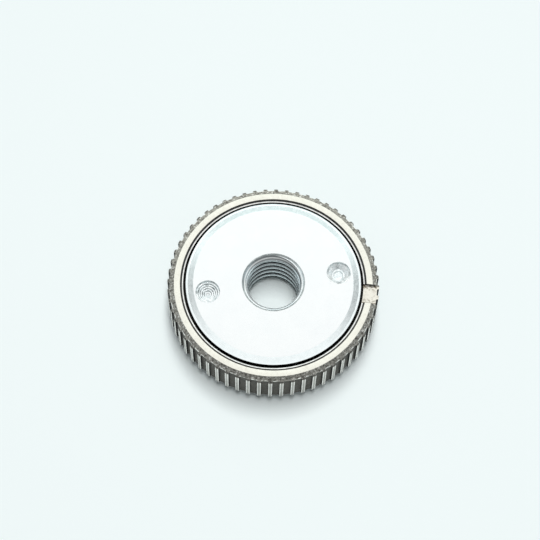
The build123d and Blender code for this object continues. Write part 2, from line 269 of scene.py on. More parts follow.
def bar(
    width: float, start: float, end: float, low: float, high: float, angle_deg: float
) -> Blank:
    """A square bar that runs outwards at an angle.

    Args:
        width: Width across the bar.
        start: Radius where it begins.
        end: Radius where it ends.
        low: Height of its underside.
        high: Height of its top.
        angle_deg: Direction in plan.

    Returns:
        The blank of the bar.
    """
    blank = Blank()
    bmesh.ops.create_cube(blank.mesh, size=1.0)
    bmesh.ops.scale(blank.mesh, vec=(end - start, width, high - low), verts=blank.mesh.verts[:])
    middle = Vector(((start + end) / 2, 0, (low + high) / 2))
    bmesh.ops.translate(blank.mesh, vec=middle, verts=blank.mesh.verts[:])
    return blank.swung(angle_deg)


def bake(obj: bpy.types.Object) -> bpy.types.Object:
    """Writes a piece's modifiers into its mesh.

    Args:
        obj: The piece.

    Returns:
        The same piece.
    """
    bpy.context.view_layer.update()
    evaluated = obj.evaluated_get(bpy.context.evaluated_depsgraph_get())
    shaped = bpy.data.meshes.new_from_object(evaluated)
    obj.modifiers.clear()
    obj.data = shaped
    shaped.name = obj.name
    return obj


def combine(
    target: bpy.types.Object, tools: list[bpy.types.Object], operation: str
) -> bpy.types.Object:
    """Joins tools to a piece, or cuts it with them, and discards the tools.

    Args:
        target: The piece that changes.
        tools: Closed solids.
        operation: UNION or DIFFERENCE.

    Returns:
        The target with its new mesh.
    """
    for tool in tools:
        modifier = target.modifiers.new("combine", "BOOLEAN")
        modifier.operation = operation
        modifier.solver = "EXACT"
        modifier.material_mode = "TRANSFER"
        modifier.object = tool
        bake(target)
        bpy.data.objects.remove(tool)
        clean(target)
    return target


def clean(obj: bpy.types.Object) -> None:
    """Merges the slivers that a cut leaves, so that the next cut meets a closed mesh.

    Args:
        obj: The piece that was cut.
    """
    mesh = bmesh.new()
    mesh.from_mesh(obj.data)
    bmesh.ops.remove_doubles(mesh, verts=mesh.verts[:], dist=SLIVER)
    bmesh.ops.dissolve_degenerate(mesh, edges=mesh.edges[:], dist=SLIVER)
    mesh.to_mesh(obj.data)
    mesh.free()


def off_line(vert: bmesh.types.BMVert) -> float:
    """How far a point between two edges lies off the line that joins its neighbours.

    Args:
        vert: A point with two edges.

    Returns:
        The distance.
    """
    before, after = (edge.other_vert(vert).co for edge in vert.link_edges)
    chord = after - before
    return (vert.co - before).cross(chord).length / max(chord.length, SLIVER)


def straighten(obj: bpy.types.Object) -> None:
    """Dissolves spare points on straight edges, where triangles would fold flat.

    Args:
        obj: The piece that was cut.
    """
    mesh = bmesh.new()
    mesh.from_mesh(obj.data)
    between_two = [vert for vert in mesh.verts if len(vert.link_edges) == 2]
    spare = [vert for vert in between_two if off_line(vert) < SLIVER]
    bmesh.ops.dissolve_verts(mesh, verts=spare)
    mesh.to_mesh(obj.data)
    mesh.free()


def crisp(obj: bpy.types.Object, sharp_deg: float = SHARP_DEG) -> bpy.types.Object:
    """Shades a combined piece smooth, with sharp edges kept and large flats truly flat.

    Args:
        obj: The piece.
        sharp_deg: Edges over this angle stay crisp.

    Returns:
        The same piece.
    """
    straighten(obj)
    obj.data.shade_smooth()
    obj.data.set_sharp_from_angle(angle=math.radians(sharp_deg))
    weighted = obj.modifiers.new("flats", "WEIGHTED_NORMAL")
    weighted.mode = "FACE_AREA"
    weighted.weight = 100
    weighted.keep_sharp = True
    return bake(obj)


def seat(obj: bpy.types.Object, body: str, slot: str, *nodes: str) -> bpy.types.Object:
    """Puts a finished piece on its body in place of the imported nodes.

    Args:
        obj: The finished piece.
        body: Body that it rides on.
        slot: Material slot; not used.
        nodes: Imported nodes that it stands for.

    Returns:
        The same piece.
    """
    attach(obj, body)
    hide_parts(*nodes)
    log.info("%s: %d faces on %s", obj.name, len(obj.data.polygons), body)
    return obj


# Finishes


class Mark(Enum):
    """How a surface was made, which sets the direction of its marks."""

    TURNED = "turned"
    GROUND = "ground"
    GRAINY = "grainy"
    PLAIN = "plain"


class NodeDesk:
    """Adds nodes to one node tree and links them.

    Every value below is a number or colour, or the socket that gives it.
    """

    # Where the colour sockets of a Mix node lie
    mix_first: ClassVar[int] = 6
    mix_second: ClassVar[int] = 7
    mix_result: ClassVar[int] = 2

    def __init__(self, tree: bpy.types.NodeTree) -> None:
        """Takes the tree that gets the nodes."""
        self.tree = tree

    def feed(self, socket: Socket, value: object) -> None:
        """Sets a socket to a value, or links it to another socket.

        Args:
            socket: The socket that takes the value.
            value: The value, or the socket that gives it.
        """
        if isinstance(value, Socket):
            self.tree.links.new(value, socket)
        else:
            socket.default_value = value

    def math(self, operation: str, *values: object) -> Socket:
        """One sum.

        Args:
            operation: Name of the sum, as the Math node has it.
            values: What goes in.

        Returns:
            The result.
        """
        node = self.tree.nodes.new("ShaderNodeMath")
        node.operation = operation
        for socket, value in zip(node.inputs, values):
            self.feed(socket, value)
        return node.outputs[0]

    def step(
        self, value: object, low: float, high: float, start: float = 0.0, end: float = 1.0
    ) -> Socket:
        """Eases from start to end while a value goes from low to high.

        Args:
            value: What is looked at.
            low: Where the step begins.
            high: Where it is done.
            start: The result up to low.
            end: The result from high.

        Returns:
            The eased result.
        """
        node = self.tree.nodes.new("ShaderNodeMapRange")
        node.interpolation_type = "SMOOTHSTEP"
        for name, amount in (("Value", value), ("From Min", low), ("From Max", high)):
            self.feed(node.inputs[name], amount)
        node.inputs["To Min"].default_value = start
        node.inputs["To Max"].default_value = end
        return node.outputs["Result"]

    def blend(self, factor: object, first: object, second: object) -> Socket:
        """Mixes two colours.

        Args:
            factor: Share of the second colour.
            first: One colour.
            second: The other.

        Returns:
            The mixed colour.
        """
        node = self.tree.nodes.new("ShaderNodeMix")
        node.data_type = "RGBA"
        self.feed(node.inputs["Factor"], factor)
        for place, colour in ((self.mix_first, first), (self.mix_second, second)):
            self.feed(node.inputs[place], (*colour, 1.0) if isinstance(colour, tuple) else colour)
        return node.outputs[self.mix_result]

    def noise(
        self, place: object, per_mm: float, detail: float = 3.0, rough: float = 0.6
    ) -> Socket:
        """Cloudy noise.

        Args:
            place: Where on the piece.
            per_mm: Features to the millimetre.
            detail: How many finer layers lie on it.
            rough: How strong they are.

        Returns:
            The noise, from 0 to 1.
        """
        node = self.tree.nodes.new("ShaderNodeTexNoise")
        self.feed(node.inputs["Vector"], place)
        node.inputs["Scale"].default_value = per_mm / MM
        node.inputs["Detail"].default_value = detail
        node.inputs["Roughness"].default_value = rough
        return node.outputs["Fac"]

    def cells(self, place: object, per_mm: float) -> Socket:
        """Distance to the nearest of many scattered points.

        Args:
            place: Where on the piece.
            per_mm: Points to the millimetre.

        Returns:
            The distance, in point spacings.
        """
        node = self.tree.nodes.new("ShaderNodeTexVoronoi")
        self.feed(node.inputs["Vector"], place)
        node.inputs["Scale"].default_value = per_mm / MM
        return node.outputs["Distance"]

    def squeezed(self, place: object, scale: Triple) -> Socket:
        """A place with its three axes scaled.

        Args:
            place: Where on the piece.
            scale: Factor of each axis.

        Returns:
            The scaled place.
        """
        node = self.tree.nodes.new("ShaderNodeMapping")
        self.feed(node.inputs["Vector"], place)
        node.inputs["Scale"].default_value = scale
        return node.outputs["Vector"]

    def parts(self, place: object) -> tuple[Socket, ...]:
        """The three parts of a place.

        Args:
            place: Where on the piece.

        Returns:
            Its X, Y and Z.
        """
        node = self.tree.nodes.new("ShaderNodeSeparateXYZ")
        self.feed(node.inputs[0], place)
        return tuple(node.outputs)

    def radius(self, place: object) -> Socket:
        """Distance of a place from the Z axis.

        Args:
            place: Where on the piece.

        Returns:
            The distance, in metres.
        """
        across, along, _ = self.parts(place)
        squares = [self.math("MULTIPLY", part, part) for part in (across, along)]
        return self.math("SQRT", self.math("ADD", *squares))

    def round_place(self, place: object) -> Socket:
        """A place as radius less height, and a share of the turn, so that marks run in rings.

        Args:
            place: Where on the piece.

        Returns:
            The place to draw marks at.
        """
        across, along, height = self.parts(place)
        turn = self.math("ABSOLUTE", self.math("ARCTAN2", along, across))
        joined = self.tree.nodes.new("ShaderNodeCombineXYZ")
        self.feed(joined.inputs[0], self.math("SUBTRACT", self.radius(place), height))
        self.feed(joined.inputs[1], self.math("MULTIPLY", turn, MM / 2))
        return joined.outputs[0]

    def dot(self, first: object, second: Triple) -> Socket:
        """How far one direction runs along another.

        Args:
            first: A direction or place.
            second: The direction that it is held against.

        Returns:
            The length along the second.
        """
        node = self.tree.nodes.new("ShaderNodeVectorMath")
        node.operation = "DOT_PRODUCT"
        self.feed(node.inputs[0], first)
        node.inputs[1].default_value = second
        return node.outputs["Value"]

    def relief(self, height: object, depth_mm: float) -> Socket:
        """A bump.

        Args:
            height: Height from 0 to 1.
            depth_mm: Depth that 1 stands for.

        Returns:
            The bumped normal.
        """
        node = self.tree.nodes.new("ShaderNodeBump")
        node.inputs["Distance"].default_value = depth_mm * MM
        self.feed(node.inputs["Height"], height)
        return node.outputs["Normal"]


class ShaderDesk(NodeDesk):
    """The desk of one material, with its shader and its place on the piece."""

    def __init__(self, name: str) -> None:
        """Starts a material that holds only a shader and its output.

        Args:
            name: Name of the material.
        """
        self.material = bpy.data.materials.new(name)
        self.material.use_nodes = True
        super().__init__(self.material.node_tree)
        self.shader = self.tree.nodes["Principled BSDF"]
        self.place = self.tree.nodes.new("ShaderNodeTexCoord").outputs["Object"]


@dataclass(frozen=True)
class MetalFinish:
    """A bare or plated metal surface.

    The marks are fine lines or grains that shade the colour, the gloss and the surface together.
    """

    name: str
    colour: Colour
    shade: Colour
    roughness: float = 0.3
    spread: float = 0.06
    mark: Mark = Mark.TURNED
    marks_per_mm: float = 6.0
    mark_depth: float = 0.004
    clouds_per_mm: float = 0.25
    speckle: float = 0.0
    speckle_colour: Colour = (0.05, 0.045, 0.04)
    specks_per_mm: float = 4.0
    # Painted glints: bright flecks of colour that stand in for sparkle of light
    glint: float = 0.0
    glint_colour: Colour = (0.75, 0.74, 0.70)
    metallic: float = 1.0

    # Shares of clouds and marks in the tone, and where on each noise the steps lie
    cloud_share: ClassVar[float] = 0.6
    mark_share: ClassVar[float] = 0.4
    tones: ClassVar[Point] = (0.34, 0.66)
    gloss: ClassVar[Point] = (0.3, 0.7)
    pits: ClassVar[Point] = (0.52, 0.66)
    # Where on their noise the painted glints lie
    glint_spots: ClassVar[Point] = (0.56, 0.66)
    # How many finer layers lie on each noise, and how strong they are
    turned_layers: ClassVar[Point] = (4.0, 0.7)
    ground_layers: ClassVar[Point] = (3.0, 0.7)
    grain_layers: ClassVar[Point] = (5.0, 0.75)
    cloud_layers: ClassVar[Point] = (4.0, 0.6)
    speck_layers: ClassVar[Point] = (2.0, 0.5)
    # Fine grains to each coarse one, and the share of their sum that counts
    fine_grains: ClassVar[float] = 1.7
    grain_share: ClassVar[float] = 0.6
    glints_to_specks: ClassVar[float] = 1.2
    grinding_stretch: ClassVar[Triple] = (1.0, 0.06, 1.0)
    mirrored: ClassVar[Triple] = (1.0, -1.0, 1.0)

    def pattern(self, desk: ShaderDesk) -> Socket:
        """The marks of this finish.

        Args:
            desk: Desk of the material.

        Returns:
            The marks as a number from 0 to 1.
        """
        if self.mark is Mark.TURNED:
            rings = desk.round_place(desk.place)
            return desk.noise(rings, self.marks_per_mm, *self.turned_layers)
        if self.mark is Mark.GROUND:
            stretched = desk.squeezed(desk.place, self.grinding_stretch)
            return desk.noise(stretched, self.marks_per_mm, *self.ground_layers)
        if self.mark is Mark.GRAINY:
            grains = desk.cells(desk.place, self.marks_per_mm)
            per_mm = self.marks_per_mm * self.fine_grains
            fine = desk.noise(desk.place, per_mm, *self.grain_layers)
            return desk.math("MULTIPLY", desk.math("ADD", grains, fine), self.grain_share)
        return desk.noise(desk.place, self.marks_per_mm)

    def flecks(self, desk: ShaderDesk) -> Socket:
        """Where the dark pits lie.

        Args:
            desk: Desk of the material.

        Returns:
            From 0 to the strength of the speckle.
        """
        specks = desk.noise(desk.place, self.specks_per_mm, *self.speck_layers)
        return desk.step(specks, *self.pits, 0.0, self.speckle)

    def build(self) -> bpy.types.Material:
        """Makes the material.

        Returns:
            The material with its nodes linked.
        """
        desk = ShaderDesk(self.name)
        marks = self.pattern(desk)
        clouds = desk.noise(desk.place, self.clouds_per_mm, *self.cloud_layers)
        marked = desk.math("MULTIPLY", marks, self.mark_share)
        tone = desk.math("MULTIPLY_ADD", clouds, self.cloud_share, marked)
        colour = desk.blend(desk.step(tone, *self.tones), self.shade, self.colour)
        if self.speckle > 0:
            colour = desk.blend(self.flecks(desk), colour, self.speckle_colour)
        # Painted highlights: bright glints laid into the colour
        if self.glint > 0:
            shifted = desk.squeezed(desk.place, self.mirrored)
            per_mm = self.specks_per_mm * self.glints_to_specks
            bright = desk.noise(shifted, per_mm, *self.speck_layers)
            glints = desk.step(bright, *self.glint_spots, 0.0, self.glint)
            colour = desk.blend(glints, colour, self.glint_colour)
        desk.feed(desk.shader.inputs["Base Color"], colour)
        desk.shader.inputs["Metallic"].default_value = self.metallic
        low, high = self.roughness - self.spread, self.roughness + self.spread
        desk.feed(desk.shader.inputs["Roughness"], desk.step(marks, *self.gloss, low, high))
        desk.feed(desk.shader.inputs["Normal"], desk.relief(marks, self.mark_depth))
        return desk.material


@dataclass(frozen=True)
class SlotFinish(MetalFinish):
    """A milled floor with brown specks along its two edges and a painted shadow line along one of
    them.
    """

    slot_deg: float = 0.0
    clean_half_width: float = 0.8
    slot_half_width: float = 2.1
    clean_share: float = 0.2
    specks: Point = (0.49, 0.6)
    # Painted shadow line on the floor along the foot of one wall
    shade_line_from: float = 1.76
    shade_line_to: float = 1.95
    shade_line: float = 0.7

    def flecks(self, desk: ShaderDesk) -> Socket:
        """Where the specks and the painted shadow line lie.

        Args:
            desk: Desk of the material.

        Returns:
            From 0 to the strength of the specks or of the line, whichever is more.
        """
        turn = math.radians(self.slot_deg)
        across = desk.dot(desk.place, (math.sin(turn), -math.cos(turn), 0.0))
        off_middle = desk.math("ABSOLUTE", across)
        inner, outer = self.clean_half_width * MM, self.slot_half_width * MM
        edge = desk.step(off_middle, inner, outer, self.clean_share, 1.0)
        grains = desk.noise(desk.place, self.specks_per_mm)
        specks = desk.math("MULTIPLY", desk.step(grains, *self.specks, 0.0, self.speckle), edge)
        # Painted shadow along the foot of one wall
        line = desk.step(across, self.shade_line_from * MM, self.shade_line_to * MM, 0.0, self.shade_line)
        return desk.math("MAXIMUM", specks, line)


@dataclass(frozen=True)
class ThreadFinish:
    """Plated thread, with painted shade that darkens it from the crests towards the roots, less
    near the mouth, and a painted highlight ring in the mouth.
    """

    name: str
    crest_r: float
    root_r: float
    mouth_low: float
    mouth_high: float
    # Crest colour; the root colours are painted shade, lighter near the mouth; then the painted
    # highlight ring in the mouth
    crest: Colour = (0.74, 0.81, 0.83)
    root: Colour = (0.05, 0.064, 0.068)
    mouth_root_shade: Colour = (0.33, 0.36, 0.37)
    highlight_r: float = 6.5
    highlight_half_widths: Point = (0.05, 0.2)
    painted_highlight: Colour = (0.97, 1.0, 1.0)
    clouds_per_mm: float = 0.8
    cloud_share: float = 0.35
    depth_share: float = 0.8
    tones: Point = (0.12, 0.95)
    roughness: float = 0.28
    metallic: float = 0.75
    mark_depth: float = 0.01

    def build(self) -> bpy.types.Material:
        """Makes the material.

        Returns:
            The material with its nodes linked.
        """
        desk = ShaderDesk(self.name)
        # Painted shade: the colour darkens from the crests towards the roots
        depth = desk.step(desk.radius(desk.place), self.crest_r * MM, self.root_r * MM)
        clouds = desk.noise(desk.place, self.clouds_per_mm)
        deep = desk.math("MULTIPLY", depth, self.depth_share)
        tone = desk.step(desk.math("MULTIPLY_ADD", clouds, self.cloud_share, deep), *self.tones)
        # Near the mouth the roots take a lighter painted shade, and a ring of painted highlight
        # lies round the mouth
        height = desk.parts(desk.place)[2]
        opening = desk.step(height, self.mouth_low * MM, self.mouth_high * MM)
        beyond = desk.math("SUBTRACT", desk.radius(desk.place), self.highlight_r * MM)
        full, gone = self.highlight_half_widths
        painted_highlight = desk.step(desk.math("ABSOLUTE", beyond), full * MM, gone * MM, 1.0, 0.0)
        mouth = desk.blend(painted_highlight, self.mouth_root_shade, self.painted_highlight)
        root = desk.blend(opening, self.root, mouth)
        desk.feed(desk.shader.inputs["Base Color"], desk.blend(tone, self.crest, root))
        desk.shader.inputs["Metallic"].default_value = self.metallic
        desk.shader.inputs["Roughness"].default_value = self.roughness
        desk.feed(desk.shader.inputs["Normal"], desk.relief(clouds, self.mark_depth))
        return desk.material


@dataclass(frozen=True)
class RubberFinish:
    """Matte black sealing rubber."""

    name: str = "black_seal_rubber"
    colour: Colour = (0.018, 0.018, 0.019)
    bloom: Colour = (0.045, 0.045, 0.048)
    clouds_per_mm: float = 0.6
    cloud_layers: Point = (5.0, 0.7)
    blooms: Point = (0.4, 0.7)
    gloss: Point = (0.3, 0.7)
    roughness: Point = (0.55, 0.75)
    grains_per_mm: float = 12.0
    grain_depth: float = 0.004

    def build(self) -> bpy.types.Material:
        """Makes the material.

        Returns:
            The material with its nodes linked.
        """
        desk = ShaderDesk(self.name)
        clouds = desk.noise(desk.place, self.clouds_per_mm, *self.cloud_layers)
        colour = desk.blend(desk.step(clouds, *self.blooms), self.colour, self.bloom)
        grains = desk.noise(desk.place, self.grains_per_mm)
        desk.feed(desk.shader.inputs["Base Color"], colour)
        roughness = desk.step(clouds, *self.gloss, *self.roughness)
        desk.feed(desk.shader.inputs["Roughness"], roughness)
        desk.feed(desk.shader.inputs["Normal"], desk.relief(grains, self.grain_depth))
        return desk.material


class Finishes:
    """Every finish of the nut, each made once."""

    def __init__(self) -> None:
        """Builds the materials."""
        self.plated_face = MetalFinish(
            "zinc_plated_face", (0.885, 0.90, 0.90), (0.86, 0.88, 0.885),
            roughness=0.22, spread=0.04, marks_per_mm=5.0, mark_depth=0.0006,
        ).build()
        self.plated_chamfer = MetalFinish(
            "zinc_plated_chamfer", (0.91, 0.96, 0.965), (0.83, 0.895, 0.90),
            roughness=0.2, spread=0.05, mark=Mark.PLAIN, marks_per_mm=1.3, mark_depth=0.0035,
            clouds_per_mm=0.9,
        ).build()
        # Thread with painted shade in its roots and a painted highlight ring at its mouth
        self.thread = ThreadFinish("zinc_plated_thread", 5.95, 6.3, 11.1, 12.1).build()
        self.countersunk = MetalFinish(
            "zinc_plated_countersink", (0.96, 1.0, 1.0), (0.70, 0.78, 0.80),
            roughness=0.27, spread=0.08, marks_per_mm=2.2, mark_depth=0.012, clouds_per_mm=0.6,
            metallic=0.5,
        ).build()
        self.mouth_rim = MetalFinish(
            "zinc_plated_mouth_rim", (0.64, 0.69, 0.69), (0.42, 0.46, 0.465),
            roughness=0.3, spread=0.08, marks_per_mm=2.2, mark_depth=0.01, clouds_per_mm=0.7,
            metallic=0.7,
        ).build()
        self.drilled = MetalFinish(
            "zinc_plated_drilled", (0.97, 1.0, 1.0), (0.70, 0.78, 0.79),
            roughness=0.22, spread=0.05, mark=Mark.PLAIN, marks_per_mm=0.9, mark_depth=0.012,
            clouds_per_mm=0.8, speckle=0.6, speckle_colour=(0.36, 0.41, 0.41),
            specks_per_mm=0.75, metallic=0.4,
        ).build()
        # Steep risers of the drill's terraces: a darker copy of the drilled finish, painted shade,
        # with painted glints
        self.drill_step_shade = MetalFinish(
            "zinc_plated_drill_step_painted_shade", (0.90, 0.95, 0.96), (0.24, 0.27, 0.275),
            roughness=0.3, spread=0.08, mark=Mark.PLAIN, marks_per_mm=1.0, mark_depth=0.01,
            clouds_per_mm=0.9, speckle=0.55, speckle_colour=(0.12, 0.14, 0.14),
            specks_per_mm=0.75, glint=0.9, glint_colour=(0.97, 1.0, 1.0),
        ).build()
        self.drill_cone = MetalFinish(
            "zinc_plated_drill_cone", (0.97, 1.0, 1.0), (0.66, 0.73, 0.74),
            roughness=0.32, spread=0.08, mark=Mark.PLAIN, marks_per_mm=1.0, mark_depth=0.01,
            clouds_per_mm=0.9, speckle=0.45, speckle_colour=(0.16, 0.19, 0.19),
            specks_per_mm=0.75, metallic=0.45,
        ).build()
        self.plated_inside = MetalFinish(
            "zinc_plated_inside", (0.66, 0.70, 0.71), (0.54, 0.58, 0.59),
            roughness=0.36, mark=Mark.PLAIN, marks_per_mm=3.0, mark_depth=0.004,
        ).build()
        # Near black: painted shade on the walls of the clearance between the hub and the ring
        self.gap_shade = MetalFinish(
            "clearance_painted_shade", (0.035, 0.033, 0.03), (0.015, 0.015, 0.014),
            roughness=0.42, mark=Mark.PLAIN, marks_per_mm=3.0, mark_depth=0.003,
        ).build()
        self.ground_band = MetalFinish(
            "ring_ground_band", (0.90, 0.885, 0.80), (0.85, 0.835, 0.75),
            roughness=0.3, mark=Mark.GROUND, marks_per_mm=3.5, mark_depth=0.0012,
            speckle=0.15, speckle_colour=(0.55, 0.52, 0.44), specks_per_mm=1.6,
        ).build()
        self.ledge = MetalFinish(
            "ring_turned_ledge", (0.98, 0.98, 0.95), (0.62, 0.62, 0.60),
            roughness=0.26, spread=0.06, marks_per_mm=2.5, mark_depth=0.003, clouds_per_mm=1.1,
        ).build()
        # Sintered skin; its glints are painted highlights
        self.sintered = MetalFinish(
            "ring_sintered", (0.40, 0.388, 0.352), (0.21, 0.203, 0.182),
            roughness=0.34, spread=0.1, mark=Mark.GRAINY, marks_per_mm=1.8, mark_depth=0.125,
            clouds_per_mm=0.9, speckle=0.7, specks_per_mm=1.7, glint=0.7,
            glint_colour=(0.88, 0.87, 0.83),
        ).build()
        # Dark: painted shade on the arc where each ridge's top meets the bevel
        self.ridge_shoulder_shade = MetalFinish(
            "ring_ridge_shoulder_painted_shade", (0.19, 0.185, 0.17), (0.08, 0.077, 0.07),
            roughness=0.42, spread=0.1, mark=Mark.GRAINY, marks_per_mm=2.6, mark_depth=0.05,
        ).build()
        # Dark sintered skin, darkened further with painted shade in the grooves between the ridges
        self.groove = MetalFinish(
            "ring_groove_skin_and_shade", (0.095, 0.088, 0.075), (0.045, 0.042, 0.036),
            roughness=0.46, spread=0.1, mark=Mark.GRAINY, marks_per_mm=2.6, mark_depth=0.05,
            clouds_per_mm=0.5, speckle=0.4, specks_per_mm=3.0,
        ).build()
        self.ridge_tip = MetalFinish(
            "ring_ridge_tip", (0.46, 0.45, 0.42), (0.30, 0.293, 0.27),
            roughness=0.32, spread=0.07, mark=Mark.PLAIN, marks_per_mm=2.0, mark_depth=0.006,
        ).build()
        # Very bright: edges worn bright, with a painted highlight on them
        self.ridge_edge_wear_and_highlight = MetalFinish(
            "ring_ridge_edge_wear_and_highlight", (0.97, 0.96, 0.92), (0.80, 0.79, 0.75),
            roughness=0.36, spread=0.07, mark=Mark.PLAIN, marks_per_mm=2.0, mark_depth=0.004,
        ).build()
        # Near black: painted shade on the ridges' flanks
        self.ridge_flank_shade = MetalFinish(
            "ring_ridge_flank_painted_shade", (0.024, 0.023, 0.021), (0.012, 0.012, 0.011),
            roughness=0.5, spread=0.08, mark=Mark.PLAIN, marks_per_mm=2.0, mark_depth=0.01,
        ).build()
        self.inner_chamfer = MetalFinish(
            "ring_inner_chamfer", (0.11, 0.11, 0.107), (0.065, 0.065, 0.063),
            roughness=0.36, spread=0.08, marks_per_mm=3.0, mark_depth=0.01,
        ).build()
        self.milled_slot = SlotFinish(
            "ring_milled_slot", (0.88, 0.85, 0.765), (0.80, 0.76, 0.67),
            roughness=0.32, spread=0.07, mark=Mark.GROUND, marks_per_mm=2.5, mark_depth=0.006,
            speckle=0.95, speckle_colour=(0.15, 0.115, 0.07), specks_per_mm=1.6,
            slot_deg=-15.75,
        ).build()
        # Near black: painted shade on the slot's walls
        self.slot_wall_shade = MetalFinish(
            "ring_slot_wall_painted_shade", (0.05, 0.045, 0.04), (0.025, 0.022, 0.02),
            roughness=0.5, mark=Mark.PLAIN, marks_per_mm=2.0, mark_depth=0.02,
        ).build()
        self.ground_steel = MetalFinish(
            "plate_ground_steel", (0.62, 0.62, 0.61), (0.50, 0.50, 0.49),
            roughness=0.3, spread=0.07, marks_per_mm=5.0, mark_depth=0.002,
        ).build()
        self.hardened = MetalFinish(
            "hardened_steel", (0.30, 0.30, 0.31), (0.17, 0.17, 0.18),
            roughness=0.38, mark=Mark.GROUND, marks_per_mm=4.0, mark_depth=0.002,
            clouds_per_mm=0.4,
        ).build()
        self.bright = MetalFinish(
            "bright_roller_steel", (0.74, 0.74, 0.75), (0.66, 0.66, 0.67),
            roughness=0.14, spread=0.03, marks_per_mm=7.0, mark_depth=0.0006,
        ).build()
        self.spring = MetalFinish(
            "spring_steel", (0.36, 0.36, 0.37), (0.22, 0.22, 0.23),
            roughness=0.32, mark=Mark.PLAIN, marks_per_mm=4.0, mark_depth=0.002,
        ).build()
        self.rubber = RubberFinish().build()


# Sub-assemblies


